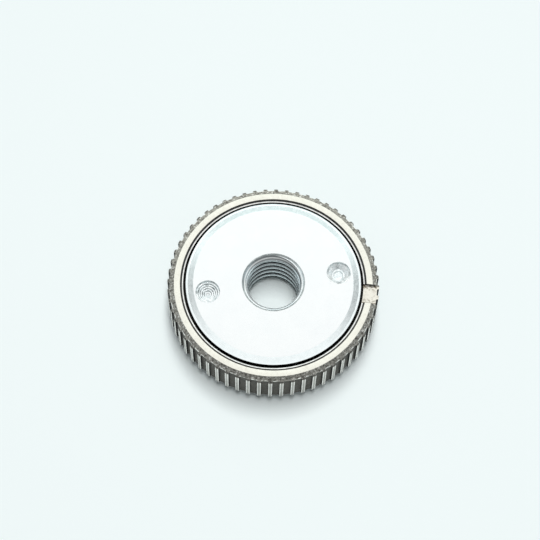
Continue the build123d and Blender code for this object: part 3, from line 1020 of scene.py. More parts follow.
@dataclass
class HubNut:
    """The plated hub: face, countersunk M14 thread, spanner holes, shoulder, ribs and sleeve."""

    finishes: Finishes
    reach: Extent = field(default_factory=lambda: Extent.of("hub_nut"))
    steps: int = 192
    blank_bore_r: float = 5.0
    minor_r: float = 5.92
    major_r: float = 7.0
    pitch: float = 2.0
    crest_at_deg: float = 79.25
    crest_below_face: float = 1.58
    thread_round: float = 0.035
    tap_overrun: float = 0.8
    lap_merge: float = 1e-3
    mouth_r: float = 7.07
    mouth_step_r: float = 6.62
    mouth_step: float = 0.25
    mouth_run_in: float = 0.35
    end_chamfer: float = 0.75
    sleeve_r: float = 9.0
    sleeve_edge: float = 0.25
    clip_groove_up: float = 0.5
    clip_groove_depth: float = 0.65
    clip_groove_height: float = 0.6
    face_r: float = 19.91
    rim_width: float = 0.5
    rim_edge: float = 0.07
    chamfer_width: float = 1.3
    chamfer_drop: float = 0.3
    shoulder_top: float = 2.15
    shoulder_under: float = 4.0
    shoulder_edge: float = 0.15
    inside_up: float = 0.2
    rib_r: float = 18.39
    rib_depth: float = 3.85
    rib_root: float = 1.0
    channel_in_r: float = 1.0
    channel_width: float = 7.1
    spanner_at: float = 15.0
    spanner_r: float = 2.65
    spanner_wall: float = 0.65
    spanner_edge: float = 0.08
    spanner_over: Point = (0.6, 0.5)
    spanner_steps: int = 72
    drill_point_deg: float = 118.0
    drill_ring_pitch: float = 0.45
    drill_ring_flat: float = 0.6
    drill_rings_in: float = 0.1
    drill_rings_end: float = 0.3
    wall_ledge: Point = (0.4, 0.15)
    pit_r: float = 1.3
    pit_depth: float = 0.35
    pit_rim: float = 0.15
    pit_ring: float = 0.37
    pit_wall: float = 0.12
    pit_centre: float = 0.06
    steep_up: float = 0.72
    pit_steep_up: float = 0.9
    pocket_in_r: float = 18.96
    pocket_height: float = 1.4
    pocket_round: float = 0.1
    pocket_deg: float = 70.0
    pocket_lead_deg: float = 2.42
    pocket_steps: int = 40

    @property
    def under(self) -> float:
        """Height of the shoulder's underside."""
        return self.reach.high - self.shoulder_under

    @property
    def wall_foot(self) -> float:
        """Height at which a spanner hole's wall meets the drill's cone."""
        return self.reach.high - self.spanner_wall

    @property
    def drill_slope(self) -> float:
        """Drop of the drill's cone for each millimetre inwards."""
        return 1 / math.tan(math.radians(self.drill_point_deg / 2))

    def body(self) -> bpy.types.Object:
        """The turned body without its bore, its ribs or its holes.

        Returns:
            The body, dressed.
        """
        face = self.reach.high
        low = self.reach.low
        shoulder = face - self.shoulder_top
        chamfer_r = self.face_r - self.rim_width
        rim = face - self.chamfer_drop
        groove = low + self.clip_groove_up
        groove_r = self.sleeve_r - self.clip_groove_depth
        corners = [
            (self.blank_bore_r, low, 0.0),
            (self.sleeve_r - self.sleeve_edge, low, 0.05),
            (self.sleeve_r, low + self.sleeve_edge, 0.05),
            (self.sleeve_r, groove, 0.03),
            (groove_r, groove, 0.0),
            (groove_r, groove + self.clip_groove_height, 0.0),
            (self.sleeve_r, groove + self.clip_groove_height, 0.03),
            (self.sleeve_r, self.under, 0.0),
            (self.reach.radius - self.shoulder_edge, self.under, 0.03),
            (self.reach.radius, self.under + self.shoulder_edge, 0.03),
            (self.reach.radius, shoulder, 0.05),
            (self.face_r, shoulder, 0.0),
            (self.face_r, rim, self.rim_edge),
            (chamfer_r, rim, 0.05),
            (chamfer_r - self.chamfer_width, face, 0.08),
            (self.blank_bore_r, face, 0.0),
        ]
        blank = turned(corners, self.steps)
        self.dress(blank)
        worn = self.finishes
        zones = [worn.plated_face, worn.plated_chamfer, worn.gap_shade, worn.plated_inside]
        return blank.piece("hub", zones)

    def dress(self, blank: Blank) -> None:
        """Gives each face of the turned body its finish by where it lies.

        Args:
            blank: The turned body.
        """
        face = self.reach.high
        chamfer_in_r = self.face_r - self.rim_width - self.chamfer_width
        rim_r = self.face_r - self.rim_edge * 1.2
        clearance = face - self.chamfer_drop - self.rim_edge
        inside = self.under + self.inside_up
        for side in blank.mesh.faces:
            middle = side.calc_center_median()
            radius = math.hypot(middle.x, middle.y)
            if middle.z < inside:
                side.material_index = 3
            # The rim wall and the shoulder top in the clearance take painted shade
            elif radius > rim_r or (middle.z < clearance and radius > self.sleeve_r):
                side.material_index = 2
            elif radius > chamfer_in_r and middle.z < face - HAIR:
                side.material_index = 1

    def ribs(self) -> bpy.types.Object:
        """The ring of ribs under the shoulder, cut by the channels of the wedge blocks.

        Returns:
            The ribs.
        """
        low = self.under - self.rib_depth
        root = self.under + self.rib_root
        inner = self.sleeve_r - PAST
        corners = [
            (inner, low, 0.0),
            (self.rib_r, low, 0.1),
            (self.rib_r, root, 0.0),
            (inner, root, 0.0),
        ]
        metal = [self.finishes.plated_inside]
        ring = turned(corners, self.steps).piece("ribs", metal)
        room = (self.channel_in_r, self.rib_r + PAST, low - PAST, root + PAST)
        cuts = [
            bar(self.channel_width, *room, angle).piece("channel", metal)
            for angle in STATION_ANGLES
        ]
        return combine(ring, cuts, "DIFFERENCE")

    def thread_shape(self) -> list[Point]:
        """One turn of the thread, from crest to crest.

        Returns:
            Radius and height of each point, with heights from the crest's middle.
        """
        crest = self.pitch / 8
        root = self.pitch / 16
        half_dip = self.minor_r + (self.major_r - self.minor_r) / 2
        soft = self.thread_round
        return [
            (self.minor_r, -crest),
            (self.minor_r, crest - soft),
            (self.minor_r + soft, crest + soft / 2),
            (half_dip, self.pitch / 4 + (crest - root) / 2),
            (self.major_r - soft, self.pitch / 2 - root - soft / 2),
            (self.major_r, self.pitch / 2 - root + soft),
            (self.major_r, self.pitch / 2 + root - soft),
            (self.major_r - soft, self.pitch / 2 + root + soft / 2),
            (half_dip, self.pitch * 3 / 4 - (crest - root) / 2),
            (self.minor_r + soft, self.pitch - crest - soft / 2),
        ]

    def tap(self) -> bpy.types.Object:
        """A solid with the shape of the thread, which cuts it into the bore.

        Returns:
            The cutter.
        """
        bottom = self.reach.low - 2 * self.pitch
        top = self.reach.high + self.pitch
        turned_by = self.pitch * self.crest_at_deg / 360
        start = self.reach.high - self.crest_below_face - turned_by
        first = start - self.pitch * math.ceil((start - bottom) / self.pitch)
        turns = math.ceil((top - first) / self.pitch)
        line = [
            (radius, first + self.pitch * lap + height, 0.0)
            for lap in range(turns)
            for radius, height in self.thread_shape()
        ]
        blank = Blank()
        mesh = blank.mesh
        section = blank.section(line, closed=False)
        blank.wind(section, FULL_TURN, self.steps, rise=(0, 0, self.pitch / self.steps))
        bmesh.ops.remove_doubles(mesh, verts=mesh.verts[:], dist=self.lap_merge)
        ends = ((self.reach.low - self.tap_overrun, 1), (self.reach.high + self.tap_overrun, -1))
        for height, side in ends:
            bmesh.ops.bisect_plane(
                mesh,
                geom=mesh.verts[:] + mesh.edges[:] + mesh.faces[:],
                plane_co=(0, 0, height),
                plane_no=(0, 0, side),
                clear_inner=True,
            )
            open_edges = [edge for edge in mesh.edges if edge.is_boundary]
            rim = [
                edge
                for edge in open_edges
                if all(abs(vert.co.z - height) < SAME_PLACE for vert in edge.verts)
            ]
            bmesh.ops.contextual_create(mesh, geom=rim)
        blank.tidy().swung(180.0 / self.steps)
        return blank.piece("tap", [self.finishes.thread])

    def mouth_cutter(self) -> bpy.types.Object:
        """The two cones at the bore's mouth, with the step where they meet.

        Returns:
            The cutter.
        """
        face = self.reach.high
        deep = self.mouth_r - self.minor_r + self.mouth_run_in
        outer = self.mouth_step_r + self.mouth_step / 2
        inner = self.mouth_step_r - self.mouth_step / 2
        step = face - (self.mouth_r - outer)
        mouth = [
            (0.0, face - deep, 0.0),
            (self.mouth_r - deep, face - deep, 0.0),
            (inner, step - 0.02, 0.03),
            (outer, step, 0.03),
            (self.mouth_r - 0.02, face - 0.02, 0.15),
            (self.mouth_r + PAST, face + 0.2, 0.0),
            (self.mouth_r + PAST, face + PAST, 0.0),
            (0.0, face + PAST, 0.0),
        ]
        blank = turned(mouth, self.steps, True)
        for side in blank.mesh.faces:
            middle = side.calc_center_median()
            side.material_index = int(math.hypot(middle.x, middle.y) > outer)
        return blank.piece("mouth", [self.finishes.countersunk, self.finishes.mouth_rim])

    def foot_cutter(self) -> bpy.types.Object:
        """The chamfer at the bore's lower end.

        Returns:
            The cutter.
        """
        low = self.reach.low
        foot_r = self.minor_r + self.end_chamfer
        inside = low + self.end_chamfer + 0.5
        below = 0.4
        foot = [
            (0.0, inside, 0.0),
            (self.minor_r - 0.5, inside, 0.0),
            (foot_r, low, 0.0),
            (foot_r + below, low - below, 0.0),
            (0.0, low - below, 0.0),
        ]
        return turned(foot, self.steps, True).piece("foot", [self.finishes.countersunk])

    def drill_rings(self) -> list[Corner]:
        """The terraces that a worn drill leaves on the cone of a spanner hole.

        Returns:
            The corners from the wall inwards.
        """
        pitch = self.drill_ring_pitch
        corners = []
        for i in range(int((self.spanner_r - self.drill_rings_end) / pitch)):
            outer = self.spanner_r - self.drill_rings_in - pitch * i
            drop = self.wall_foot - (self.spanner_r - outer) * self.drill_slope
            corners.append((outer, drop, 0.02))
            corners.append((outer - pitch * self.drill_ring_flat, drop, 0.02))
        corners.append((0.0, self.wall_foot - self.spanner_r * self.drill_slope, 0.0))
        return corners

    def pit_cone(self) -> list[Corner]:
        """The cone of the other spanner hole, which ends in a flat ring round the pilot pit.

        Returns:
            The corners from the wall inwards.
        """
        width, drop = self.wall_ledge
        cone_r = self.pit_r + self.pit_rim
        ledge = self.wall_foot - (self.spanner_r - cone_r) * self.drill_slope
        cone_end = self.wall_foot - (self.spanner_r - self.pit_r) * self.drill_slope
        floor = cone_end - self.pit_depth
        return [
            (self.spanner_r - width, self.wall_foot - drop, 0.03),
            (cone_r, ledge, 0.03),
            (cone_r - self.pit_ring, ledge - 0.02, 0.03),
            (cone_r - self.pit_ring - self.pit_wall, floor, 0.04),
            (self.pit_r * 0.3, floor, 0.03),
            (0.0, floor + self.pit_centre, 0.0),
        ]

    def spanner_cutter(self, angle_deg: float, pit: bool) -> bpy.types.Object:
        """A cutter for one drilled spanner hole, with what the drill leaves on its floor.

        Args:
            angle_deg: Where the hole is.
            pit: Whether the floor ends in the small pilot pit.

        Returns:
            The cutter.
        """
        face = self.reach.high
        edge = self.spanner_edge
        over_r, over = self.spanner_r + self.spanner_over[0], face + self.spanner_over[1]
        corners = [
            (over_r, over, 0.0),
            (self.spanner_r + edge, face, 0.0),
            (self.spanner_r, face - edge, 0.04),
            (self.spanner_r, self.wall_foot, 0.06),
            *(self.pit_cone() if pit else self.drill_rings()),
            (0.0, over, 0.0),
        ]
        blank = turned(corners[::-1], self.spanner_steps)
        blank.mesh.normal_update()
        steep_up = self.pit_steep_up if pit else self.steep_up
        steep = self.finishes.drill_cone if pit else self.finishes.drill_step_shade
        # On the terraced hole the steep faces take the darker finish: painted shade
        for side in blank.mesh.faces:
            side.material_index = int(abs(side.normal.z) < steep_up)
        place = (self.spanner_at, 0, 0)
        bmesh.ops.translate(blank.mesh, vec=place, verts=blank.mesh.verts[:])
        return blank.swung(angle_deg).piece("spanner_cutter", [self.finishes.drilled, steep])

    def pocket_cutter(self, angle_deg: float) -> bpy.types.Object:
        """A cutter for one pocket of a return spring, in the shoulder's edge.

        Args:
            angle_deg: Angle of the pin that stands in the pocket.

        Returns:
            The cutter.
        """
        outer = self.reach.radius + PAST
        low = self.under - PAST
        high = self.under + self.pocket_height
        corners = [
            (self.pocket_in_r, low, 0.0),
            (outer, low, 0.0),
            (outer, high, 0.0),
            (self.pocket_in_r, high, self.pocket_round),
        ]
        blank = Blank()
        section = blank.section(corners)
        blank.swung(angle_deg - self.pocket_lead_deg)
        blank.wind(section, math.radians(self.pocket_deg), self.pocket_steps)
        ends = [edge for edge in blank.mesh.edges if edge.is_boundary]
        bmesh.ops.holes_fill(blank.mesh, edges=ends, sides=0)
        return blank.tidy().piece("pocket_cutter", [self.finishes.plated_inside])

    def build(self) -> bpy.types.Object:
        """Builds the hub and seats it on the nut's body.

        Returns:
            The hub.
        """
        hub = combine(self.body(), [self.ribs()], "UNION")
        cutters = [self.tap(), self.mouth_cutter(), self.foot_cutter()]
        cutters += [self.spanner_cutter(0.0, True), self.spanner_cutter(180.0, False)]
        cutters += [self.pocket_cutter(angle) for angle in PIN_ANGLES]
        combine(hub, cutters, "DIFFERENCE")
        hub.name = "threaded_hub"
        return seat(crisp(hub), "nut", "zinc_plated_steel", "hub_nut")


class RingZone(Enum):
    """Places on the turning ring that look different, in slot order."""

    BAND = 0
    LEDGE = 1
    CHAMFER = 2
    LIP = 3
    SKIN = 4
    TIP = 5
    EDGE = 6
    FLANK = 7
    GROOVE = 8
    SHADED_SHOULDER = 9


@dataclass
class KnurledRing:
    """The outer ring: lip, ledge, ground band, rough bevel, straight ridges and the slot."""

    finishes: Finishes
    reach: Extent = field(default_factory=lambda: Extent.of("knurled_ring"))
    ridges: int = 60
    phase_deg: float = -10.75
    ridge_height: float = 0.5
    half_tip: float = 0.43
    half_base: float = 0.53
    ridge_round: float = 0.055
    worn_edge: float = 0.2
    bevel_width: float = 1.55
    bevel_drop: float = 0.65
    bevel_zone: float = 2.0
    sides_from: float = 2.2
    lip_r: float = 20.43
    lip_low: float = 10.9
    ledge_width: float = 0.28
    ledge_drop: float = 0.3
    inner_chamfer: float = 0.43
    journal_r: float = 20.96
    seat_r: float = 21.61
    seat_top: float = 8.95
    bottom_chamfer: float = 0.3
    slot_deg: float = -15.75
    slot_width: float = 4.6
    slot_depth: float = 0.8
    slot_corner: float = 0.1
    slot_wall_up: float = 0.3
    side_in: float = 0.5
    side_below: float = 0.02
    tip_zone: float = 0.03
    groove_zone: float = 0.06
    rough_from: float = 0.1
    grain: float = 0.05
    side_grain_share: float = 1 / 4
    grains_per_mm: float = 2.4
    bevel_rings: int = 12
    dark_arc: float = 0.42
    # Chips by the grooves are worn bright and carry a painted highlight
    chip_width: float = 0.17
    chips_per_mm: float = 2.4
    chips_above: float = 0.02
    sharp_deg: float = 30.0

    @property
    def tip_r(self) -> float:
        """Radius over the ridges."""
        return self.reach.radius

    @property
    def band_r(self) -> float:
        """Radius where the ground band ends and the bevel begins."""
        return self.tip_r - self.bevel_width

    @property
    def stations(self) -> list[Point]:
        """Half a ridge's outline.

        Returns:
            Distance from the ridge's middle and depth below its tip, of each point.
        """
        soft = self.ridge_round
        pitch = FULL_TURN * self.tip_r / self.ridges
        return [
            (0.0, 0.0),
            (self.half_tip - self.worn_edge, 0.0),
            (self.half_tip - soft * 1.6, 0.0),
            (self.half_tip - soft * 0.7, soft * 0.22),
            (self.half_tip, soft),
            (self.half_base - soft * 0.4, self.ridge_height - soft),
            (self.half_base + soft * 0.6, self.ridge_height - soft * 0.15),
            (self.half_base + soft * 1.8, self.ridge_height),
            (pitch / 2, self.ridge_height),
        ]

    def outline(self, share: float) -> Point:
        """Where a share of one ridge's pitch lies.

        Args:
            share: From 0 to 1 across one pitch, with the ridge's middle at 0.

        Returns:
            The angle from the ridge's middle, in degrees, and the depth below the tip.
        """
        stations = self.stations
        count = len(stations) - 1
        place = share * 2 * count
        mirrored = place > count
        index = round(2 * count - place if mirrored else place)
        distance, depth = stations[index]
        angle = math.degrees(distance / self.tip_r)
        return (360 / self.ridges - angle if mirrored else angle), depth

    def bevel_height(self, radius: float) -> float:
        """Height of the bevel at a radius."""
        down = self.bevel_drop * max(radius - self.band_r, 0) / self.bevel_width
        return self.reach.high - down

    def bevel_points(self) -> list[Corner]:
        """Points down the bevel, close enough for its coarse grain.

        Returns:
            Radius and height of each point, none of them rounded.
        """
        steps = range(1, self.bevel_rings)
        radii = [self.band_r + self.bevel_width * i / self.bevel_rings for i in steps]
        return [(radius, self.bevel_height(radius), 0.0) for radius in radii]

    def blank(self) -> Blank:
        """The turned ring, with points enough for the ridges.

        Returns:
            The blank, round outside.
        """
        top = self.reach.high
        low = self.reach.low
        ledge_r = self.lip_r + self.ledge_width
        ledge = top - self.ledge_drop
        tip = self.tip_r
        chamfer = self.bottom_chamfer
        corners = [
            (self.lip_r, self.lip_low, 0.04),
            (self.lip_r, ledge, 0.04),
            (ledge_r, ledge, 0.0),
            (ledge_r + self.inner_chamfer, top, 0.03),
            (self.band_r, top, 0.04),
            *self.bevel_points(),
            (tip, self.bevel_height(tip), 0.2),
            (tip, top - self.sides_from, 0.0),
            (tip, (top + low) / 2, 0.0),
            (tip, low + chamfer, 0.05),
            (tip - chamfer, low, 0.05),
            (self.seat_r + chamfer, low, 0.05),
            (self.seat_r, low + chamfer, 0.0),
            (self.seat_r, self.seat_top, 0.0),
            (self.journal_r, self.seat_top, 0.03),
            (self.journal_r, self.lip_low, 0.0),
        ]
        return turned(corners, self.ridges * 2 * (len(self.stations) - 1))

    def knurl(self, blank: Blank) -> None:
        """Moves the outer points in and round, so that they form the ridges.

        Args:
            blank: The turned ring.
        """
        pitch_deg = 360 / self.ridges
        for vert in blank.mesh.verts:
            radius = math.hypot(vert.co.x, vert.co.y)
            angle = math.degrees(math.atan2(vert.co.y, vert.co.x)) % 360
            cell, share = divmod(angle / pitch_deg + NUDGE, 1.0)
            turn, depth = self.outline(share)
            if radius > self.band_r + self.rough_from:
                limit = self.tip_r - depth
                if vert.co.z > self.reach.high - self.bevel_zone:
                    reach = min((radius - self.band_r) / self.bevel_width, 1.0)
                    moved = self.band_r + (limit - self.band_r) * reach
                    vert.co.z += self.bevel_height(moved) - self.bevel_height(radius)
                else:
                    moved = min(radius, limit)
                radius = moved
            where = math.radians(cell * pitch_deg + turn + self.phase_deg)
            vert.co.x = radius * math.cos(where)
            vert.co.y = radius * math.sin(where)

    def roughen(self, blank: Blank) -> None:
        """Sinks small pits into the unground skin, as pressed and sintered metal has them.

        Args:
            blank: The knurled ring.
        """
        start = self.rough_from
        shoulder = self.bevel_height(self.tip_r) - start
        for vert in blank.mesh.verts:
            radius = math.hypot(vert.co.x, vert.co.y)
            if radius < self.band_r + start or vert.co.z < self.reach.low + start:
                continue
            pit = 0.5 + 0.5 * noise.fractal(vert.co * self.grains_per_mm, 0.6, 2.0, 3)
            depth = self.grain if vert.co.z > shoulder else self.grain * self.side_grain_share
            vert.co -= vert.normal * depth * min(max(pit, 0.0), 1.0)

    def dress(self, blank: Blank) -> None:
        """Gives each face its finish by where it lies.

        Args:
            blank: The knurled ring.
        """
        for face in blank.mesh.faces:
            middle = face.calc_center_median()
            radius = math.hypot(middle.x, middle.y)
            turn = math.degrees(math.atan2(middle.y, middle.x)) - self.phase_deg
            share = turn * self.ridges / 360 % 1.0
            off_middle = min(share, 1 - share) * FULL_TURN * self.tip_r / self.ridges
            chipped = noise.noise(middle * self.chips_per_mm) > self.chips_above
            face.material_index = self.zone(radius, middle.z, off_middle, chipped).value

    def zone(self, radius: float, height: float, off_middle: float, chipped: bool) -> RingZone:
        """Says which finish a place on the ring has.

        Args:
            radius: Distance from the axis.
            height: Height above the clamping face.
            off_middle: Distance along the rim from the middle of the nearest ridge.
            chipped: Whether the edge is worn bright there, with a painted highlight on it.

        Returns:
            The zone.
        """
        depth = self.tip_r - radius
        side_top = self.bevel_height(self.tip_r) - self.side_below
        if radius > self.seat_r + self.side_in and height < side_top:
            return self.side_zone(depth, off_middle)
        if radius > self.band_r:
            # Over each ridge's top lies an arc of painted shade
            bow = math.cos(min(off_middle / self.half_base, 1.0) * math.pi / 2.4)
            if depth < self.dark_arc * bow:
                return RingZone.SHADED_SHOULDER if off_middle < self.half_base else RingZone.SKIN
            by_groove = off_middle > self.half_base and depth < self.ridge_height + self.chip_width
            return RingZone.EDGE if by_groove and chipped else RingZone.SKIN
        if height > self.reach.high - HAIR:
            return RingZone.BAND
        ledge = self.reach.high - self.ledge_drop
        if height > ledge + HAIR:
            return RingZone.CHAMFER
        return RingZone.LEDGE if height > ledge - HAIR else RingZone.LIP

    def side_zone(self, depth: float, off_middle: float) -> RingZone:
        """Says which finish a place on the ring's side has.

        Args:
            depth: Distance below the ridges' tips.
            off_middle: Distance along the rim from the middle of the nearest ridge.

        Returns:
            The zone.
        """
        if depth < self.ridge_round + self.tip_zone:
            # The tips' worn edges are worn bright and carry a painted highlight
            worn = off_middle > self.half_tip - self.worn_edge
            return RingZone.EDGE if worn else RingZone.TIP
        # The flanks and the grooves between the ridges take painted shade
        flank = depth < self.ridge_height - self.groove_zone
        return RingZone.FLANK if flank else RingZone.GROOVE

    def slot_cutter(self) -> bpy.types.Object:
        """The milling cutter's path across the ring's top.

        Returns:
            The cutter.
        """
        top = self.reach.high
        floor = top - self.slot_depth
        start, end = self.lip_r - PAST, self.tip_r + PAST
        blank = bar(self.slot_width, start, end, floor, top + PAST, self.slot_deg)
        edges = blank.mesh.edges
        low_edges = [e for e in edges if max(v.co.z for v in e.verts) < floor + HAIR]
        blank.soften(low_edges, self.slot_corner, 3)
        blank.mesh.normal_update()
        # The floor takes the milled finish; the walls take painted shade
        for face in blank.mesh.faces:
            face.material_index = int(abs(face.normal.z) < self.slot_wall_up)
        return blank.piece("slot_cutter", [self.finishes.milled_slot, self.finishes.slot_wall_shade])

    def build(self) -> bpy.types.Object:
        """Builds the ring and seats it on the ring's body.

        Returns:
            The ring.
        """
        blank = self.blank()
        self.knurl(blank)
        bmesh.ops.recalc_face_normals(blank.mesh, faces=blank.mesh.faces[:])
        blank.mesh.normal_update()
        self.roughen(blank)
        self.dress(blank)
        worn = self.finishes
        zones = {
            RingZone.BAND: worn.ground_band,
            RingZone.LEDGE: worn.ledge,
            RingZone.CHAMFER: worn.inner_chamfer,
            # The lip wall in the clearance takes painted shade
            RingZone.LIP: worn.gap_shade,
            RingZone.SKIN: worn.sintered,
            RingZone.TIP: worn.ridge_tip,
            RingZone.EDGE: worn.ridge_edge_wear_and_highlight,
            RingZone.FLANK: worn.ridge_flank_shade,
            RingZone.GROOVE: worn.groove,
            RingZone.SHADED_SHOULDER: worn.ridge_shoulder_shade,
        }
        ring = blank.piece("turning_ring", [zones[zone] for zone in RingZone])
        combine(ring, [self.slot_cutter()], "DIFFERENCE")
        return seat(crisp(ring, self.sharp_deg), "ring", "sintered_steel", "knurled_ring")


@dataclass
class PressurePlate:
    """The plate that presses the disc: flange, relief, recess, seal groove, boss and pads."""

    finishes: Finishes
    reach: Extent = field(default_factory=lambda: Extent.of("pressure_plate"))
    steps: int = 192
    thickness: float = 2.85
    edge: float = 0.35
    boss_r: float = 19.14
    boss_top: float = 4.6
    bore_r: float = 9.06
    recess_r: float = 11.15
    recess_roof: float = 3.66
    relief_width: float = 2.0
    relief_depth: float = 0.3
    groove_r: float = 18.38
    groove_low: float = 3.55
    groove_height: float = 0.9
    pad_width: float = 6.7
    pad_out_r: float = 18.0
    pad_root: float = 0.6
    pad_round: float = 0.12
    slope: float = 0.4

    def flange(self) -> bpy.types.Object:
        """The turned plate without its pads.

        Returns:
            The plate.
        """
        edge = self.edge
        rim_r = self.reach.radius
        relief_r = self.recess_r + self.relief_width
        groove_top = self.groove_low + self.groove_height
        corners = [
            (relief_r, self.relief_depth, 0.05),
            (relief_r, 0.0, 0.04),
            (rim_r - edge, 0.0, 0.06),
            (rim_r, edge, 0.06),
            (rim_r, self.thickness - edge, 0.06),
            (rim_r - edge, self.thickness, 0.06),
            (self.boss_r, self.thickness, 0.0),
            (self.boss_r, self.groove_low, 0.03),
            (self.groove_r, self.groove_low, 0.0),
            (self.groove_r, groove_top, 0.0),
            (self.boss_r, groove_top, 0.03),
            (self.boss_r, self.boss_top, 0.03),
            (self.bore_r, self.boss_top, 0.05),
            (self.bore_r, self.recess_roof, 0.05),
            (self.recess_r, self.recess_roof, 0.05),
            (self.recess_r, self.relief_depth, 0.08),
        ]
        return turned(corners, self.steps).piece("flange", [self.finishes.ground_steel])

    def pad(self, angle_deg: float) -> bpy.types.Object:
        """One wedge pad that slopes down towards the rim.

        Args:
            angle_deg: Direction in plan.

        Returns:
            The pad.
        """
        inner = self.bore_r + self.pad_root
        foot = self.boss_top
        low = foot - self.pad_root
        blank = bar(self.pad_width, inner, self.pad_out_r, low, self.reach.high, angle_deg)
        along = Matrix.Rotation(math.radians(angle_deg), 3, "Z") @ Vector((1, 0, 0))
        for vert in [v for v in blank.mesh.verts if v.co.z > foot]:
            vert.co.z = foot + self.slope * (self.pad_out_r - vert.co.dot(along))
        edges = blank.mesh.edges
        upper = [e for e in edges if min(v.co.z for v in e.verts) > low + HAIR]
        blank.soften(upper, self.pad_round, 2)
        return blank.piece("pad", [self.finishes.hardened])

    def build(self) -> bpy.types.Object:
        """Builds the plate and seats it on its body.

        Returns:
            The plate.
        """
        plate = self.flange()
        combine(plate, [self.pad(angle) for angle in STATION_ANGLES], "UNION")
        plate.name = "clamping_plate"
        return seat(crisp(plate), "plate", "ground_steel", "pressure_plate")


@dataclass
class Springs:
    """The return springs in the shoulder's pockets and the cone washer that lifts the plate."""

    finishes: Finishes
    wire_r: float = 0.125
    wire_sides: int = 8
    coil_r: float = 0.455
    centre_r: float = 20.11
    height: float = 9.7
    lead_deg: float = 2.67
    length_deg: float = 64.65
    coils: int = 21
    steps: int = 18
    sharp_deg: float = 60.0
    cone_in_r: float = 9.18
    cone_thickness: float = 0.25
    cone_steps: int = 96

    def wound(self) -> Blank:
        """A coil spring that lies straight along X.

        Returns:
            The blank of the coil, with its middle line on the X axis.
        """
        blank = Blank()
        made = bmesh.ops.create_circle(
            blank.mesh, cap_ends=True, segments=self.wire_sides, radius=self.wire_r
        )
        verts = made["verts"]
        upright = Matrix.Rotation(math.pi / 2, 3, "Y")
        turned_in = Matrix.Rotation(math.pi / 2, 3, "Z")
        top = (0, 0, self.coil_r)
        bmesh.ops.rotate(blank.mesh, cent=CENTRE, matrix=upright, verts=verts)
        bmesh.ops.translate(blank.mesh, vec=(self.wire_r, 0, self.coil_r), verts=verts)
        bmesh.ops.rotate(blank.mesh, cent=top, matrix=turned_in, verts=verts)
        travel = math.radians(self.length_deg) * self.centre_r - 2 * self.wire_r
        steps = self.coils * self.steps
        rise = (travel / steps, 0, 0)
        blank.wind(blank.mesh.faces[:], FULL_TURN * self.coils, steps, (1, 0, 0), rise)
        return blank

    def return_spring(self, number: int, pin_deg: float) -> bpy.types.Object:
        """One coil spring, wound straight and then bent along its pocket.

        Args:
            number: Which spring it is, from 1.
            pin_deg: Angle of the pin that it pushes.

        Returns:
            The spring, bent between the hub and the ring.
        """
        blank = self.wound()
        first = math.radians(pin_deg + self.lead_deg)
        for vert in blank.mesh.verts:
            along, across, up = vert.co
            where = first + along / self.centre_r
            radius = self.centre_r + across
            vert.co = (radius * math.cos(where), radius * math.sin(where), self.height + up)
        metal = [self.finishes.spring]
        spring = blank.tidy().piece(f"coil_spring_{number}", metal, self.sharp_deg)
        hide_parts(f"return_spring_{number}")
        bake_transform(spring)
        log.info("%s: %d faces between nut and ring", spring.name, len(spring.data.polygons))
        return spring

    def cone_spring(self) -> bpy.types.Object:
        """The cone washer that lifts the plate off the clip.

        Returns:
            The washer, stretched between the hub and the plate.
        """
        reach = Extent.of("lift_spring")
        low, high = reach.low, reach.high
        inner = self.cone_in_r
        thick = self.cone_thickness
        corners = [
            (inner, low, 0.05),
            (reach.radius, high - thick, 0.05),
            (reach.radius, high, 0.05),
            (inner, low + thick, 0.05),
        ]
        spring = turned(corners, self.cone_steps).piece("cone_spring", [self.finishes.spring])
        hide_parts("lift_spring")
        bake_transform(spring)
        log.info("%s: %d faces between nut and plate", spring.name, len(spring.data.polygons))
        return spring

    def build(self) -> None:
        """Builds the springs."""
        for number, angle in enumerate(PIN_ANGLES, 1):
            self.return_spring(number, angle)
        self.cone_spring()


@dataclass
class HiddenSteel:
    """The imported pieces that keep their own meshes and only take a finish."""

    finishes: Finishes

    def build(self) -> None:
        """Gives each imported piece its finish."""
        worn = {
            "cam_ring": self.finishes.hardened,
            "spring_pins": self.finishes.hardened,
            "seal_ring": self.finishes.rubber,
            "retaining_clip": self.finishes.spring,
        }
        for number in range(1, len(STATION_ANGLES) + 1):
            worn[f"wedge_block_{number}"] = self.finishes.hardened
            worn[f"roller_{number}"] = self.finishes.bright
        for node, finish in worn.items():
            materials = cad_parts[node].data.materials
            materials.clear()
            materials.append(finish)
            log.info("%s: finish %s", node, finish.name)


# Studio


class LampUse(Enum):
    """What a lamp is for."""

    METAL = "mirrored by the metal"
    FLOOR = "lights the floor"


@dataclass(frozen=True)
class Softbox:
    """A soft rectangular lamp that faces the nut.

    It hangs at a distance in millimetres, in a direction that has parts right, back and up from
    the camera's side. Its strength is how bright its face looks, where 1 is white.
    """

    name: str
    direction: Triple
    distance: float
    size: Point
    strength: float
    use: LampUse


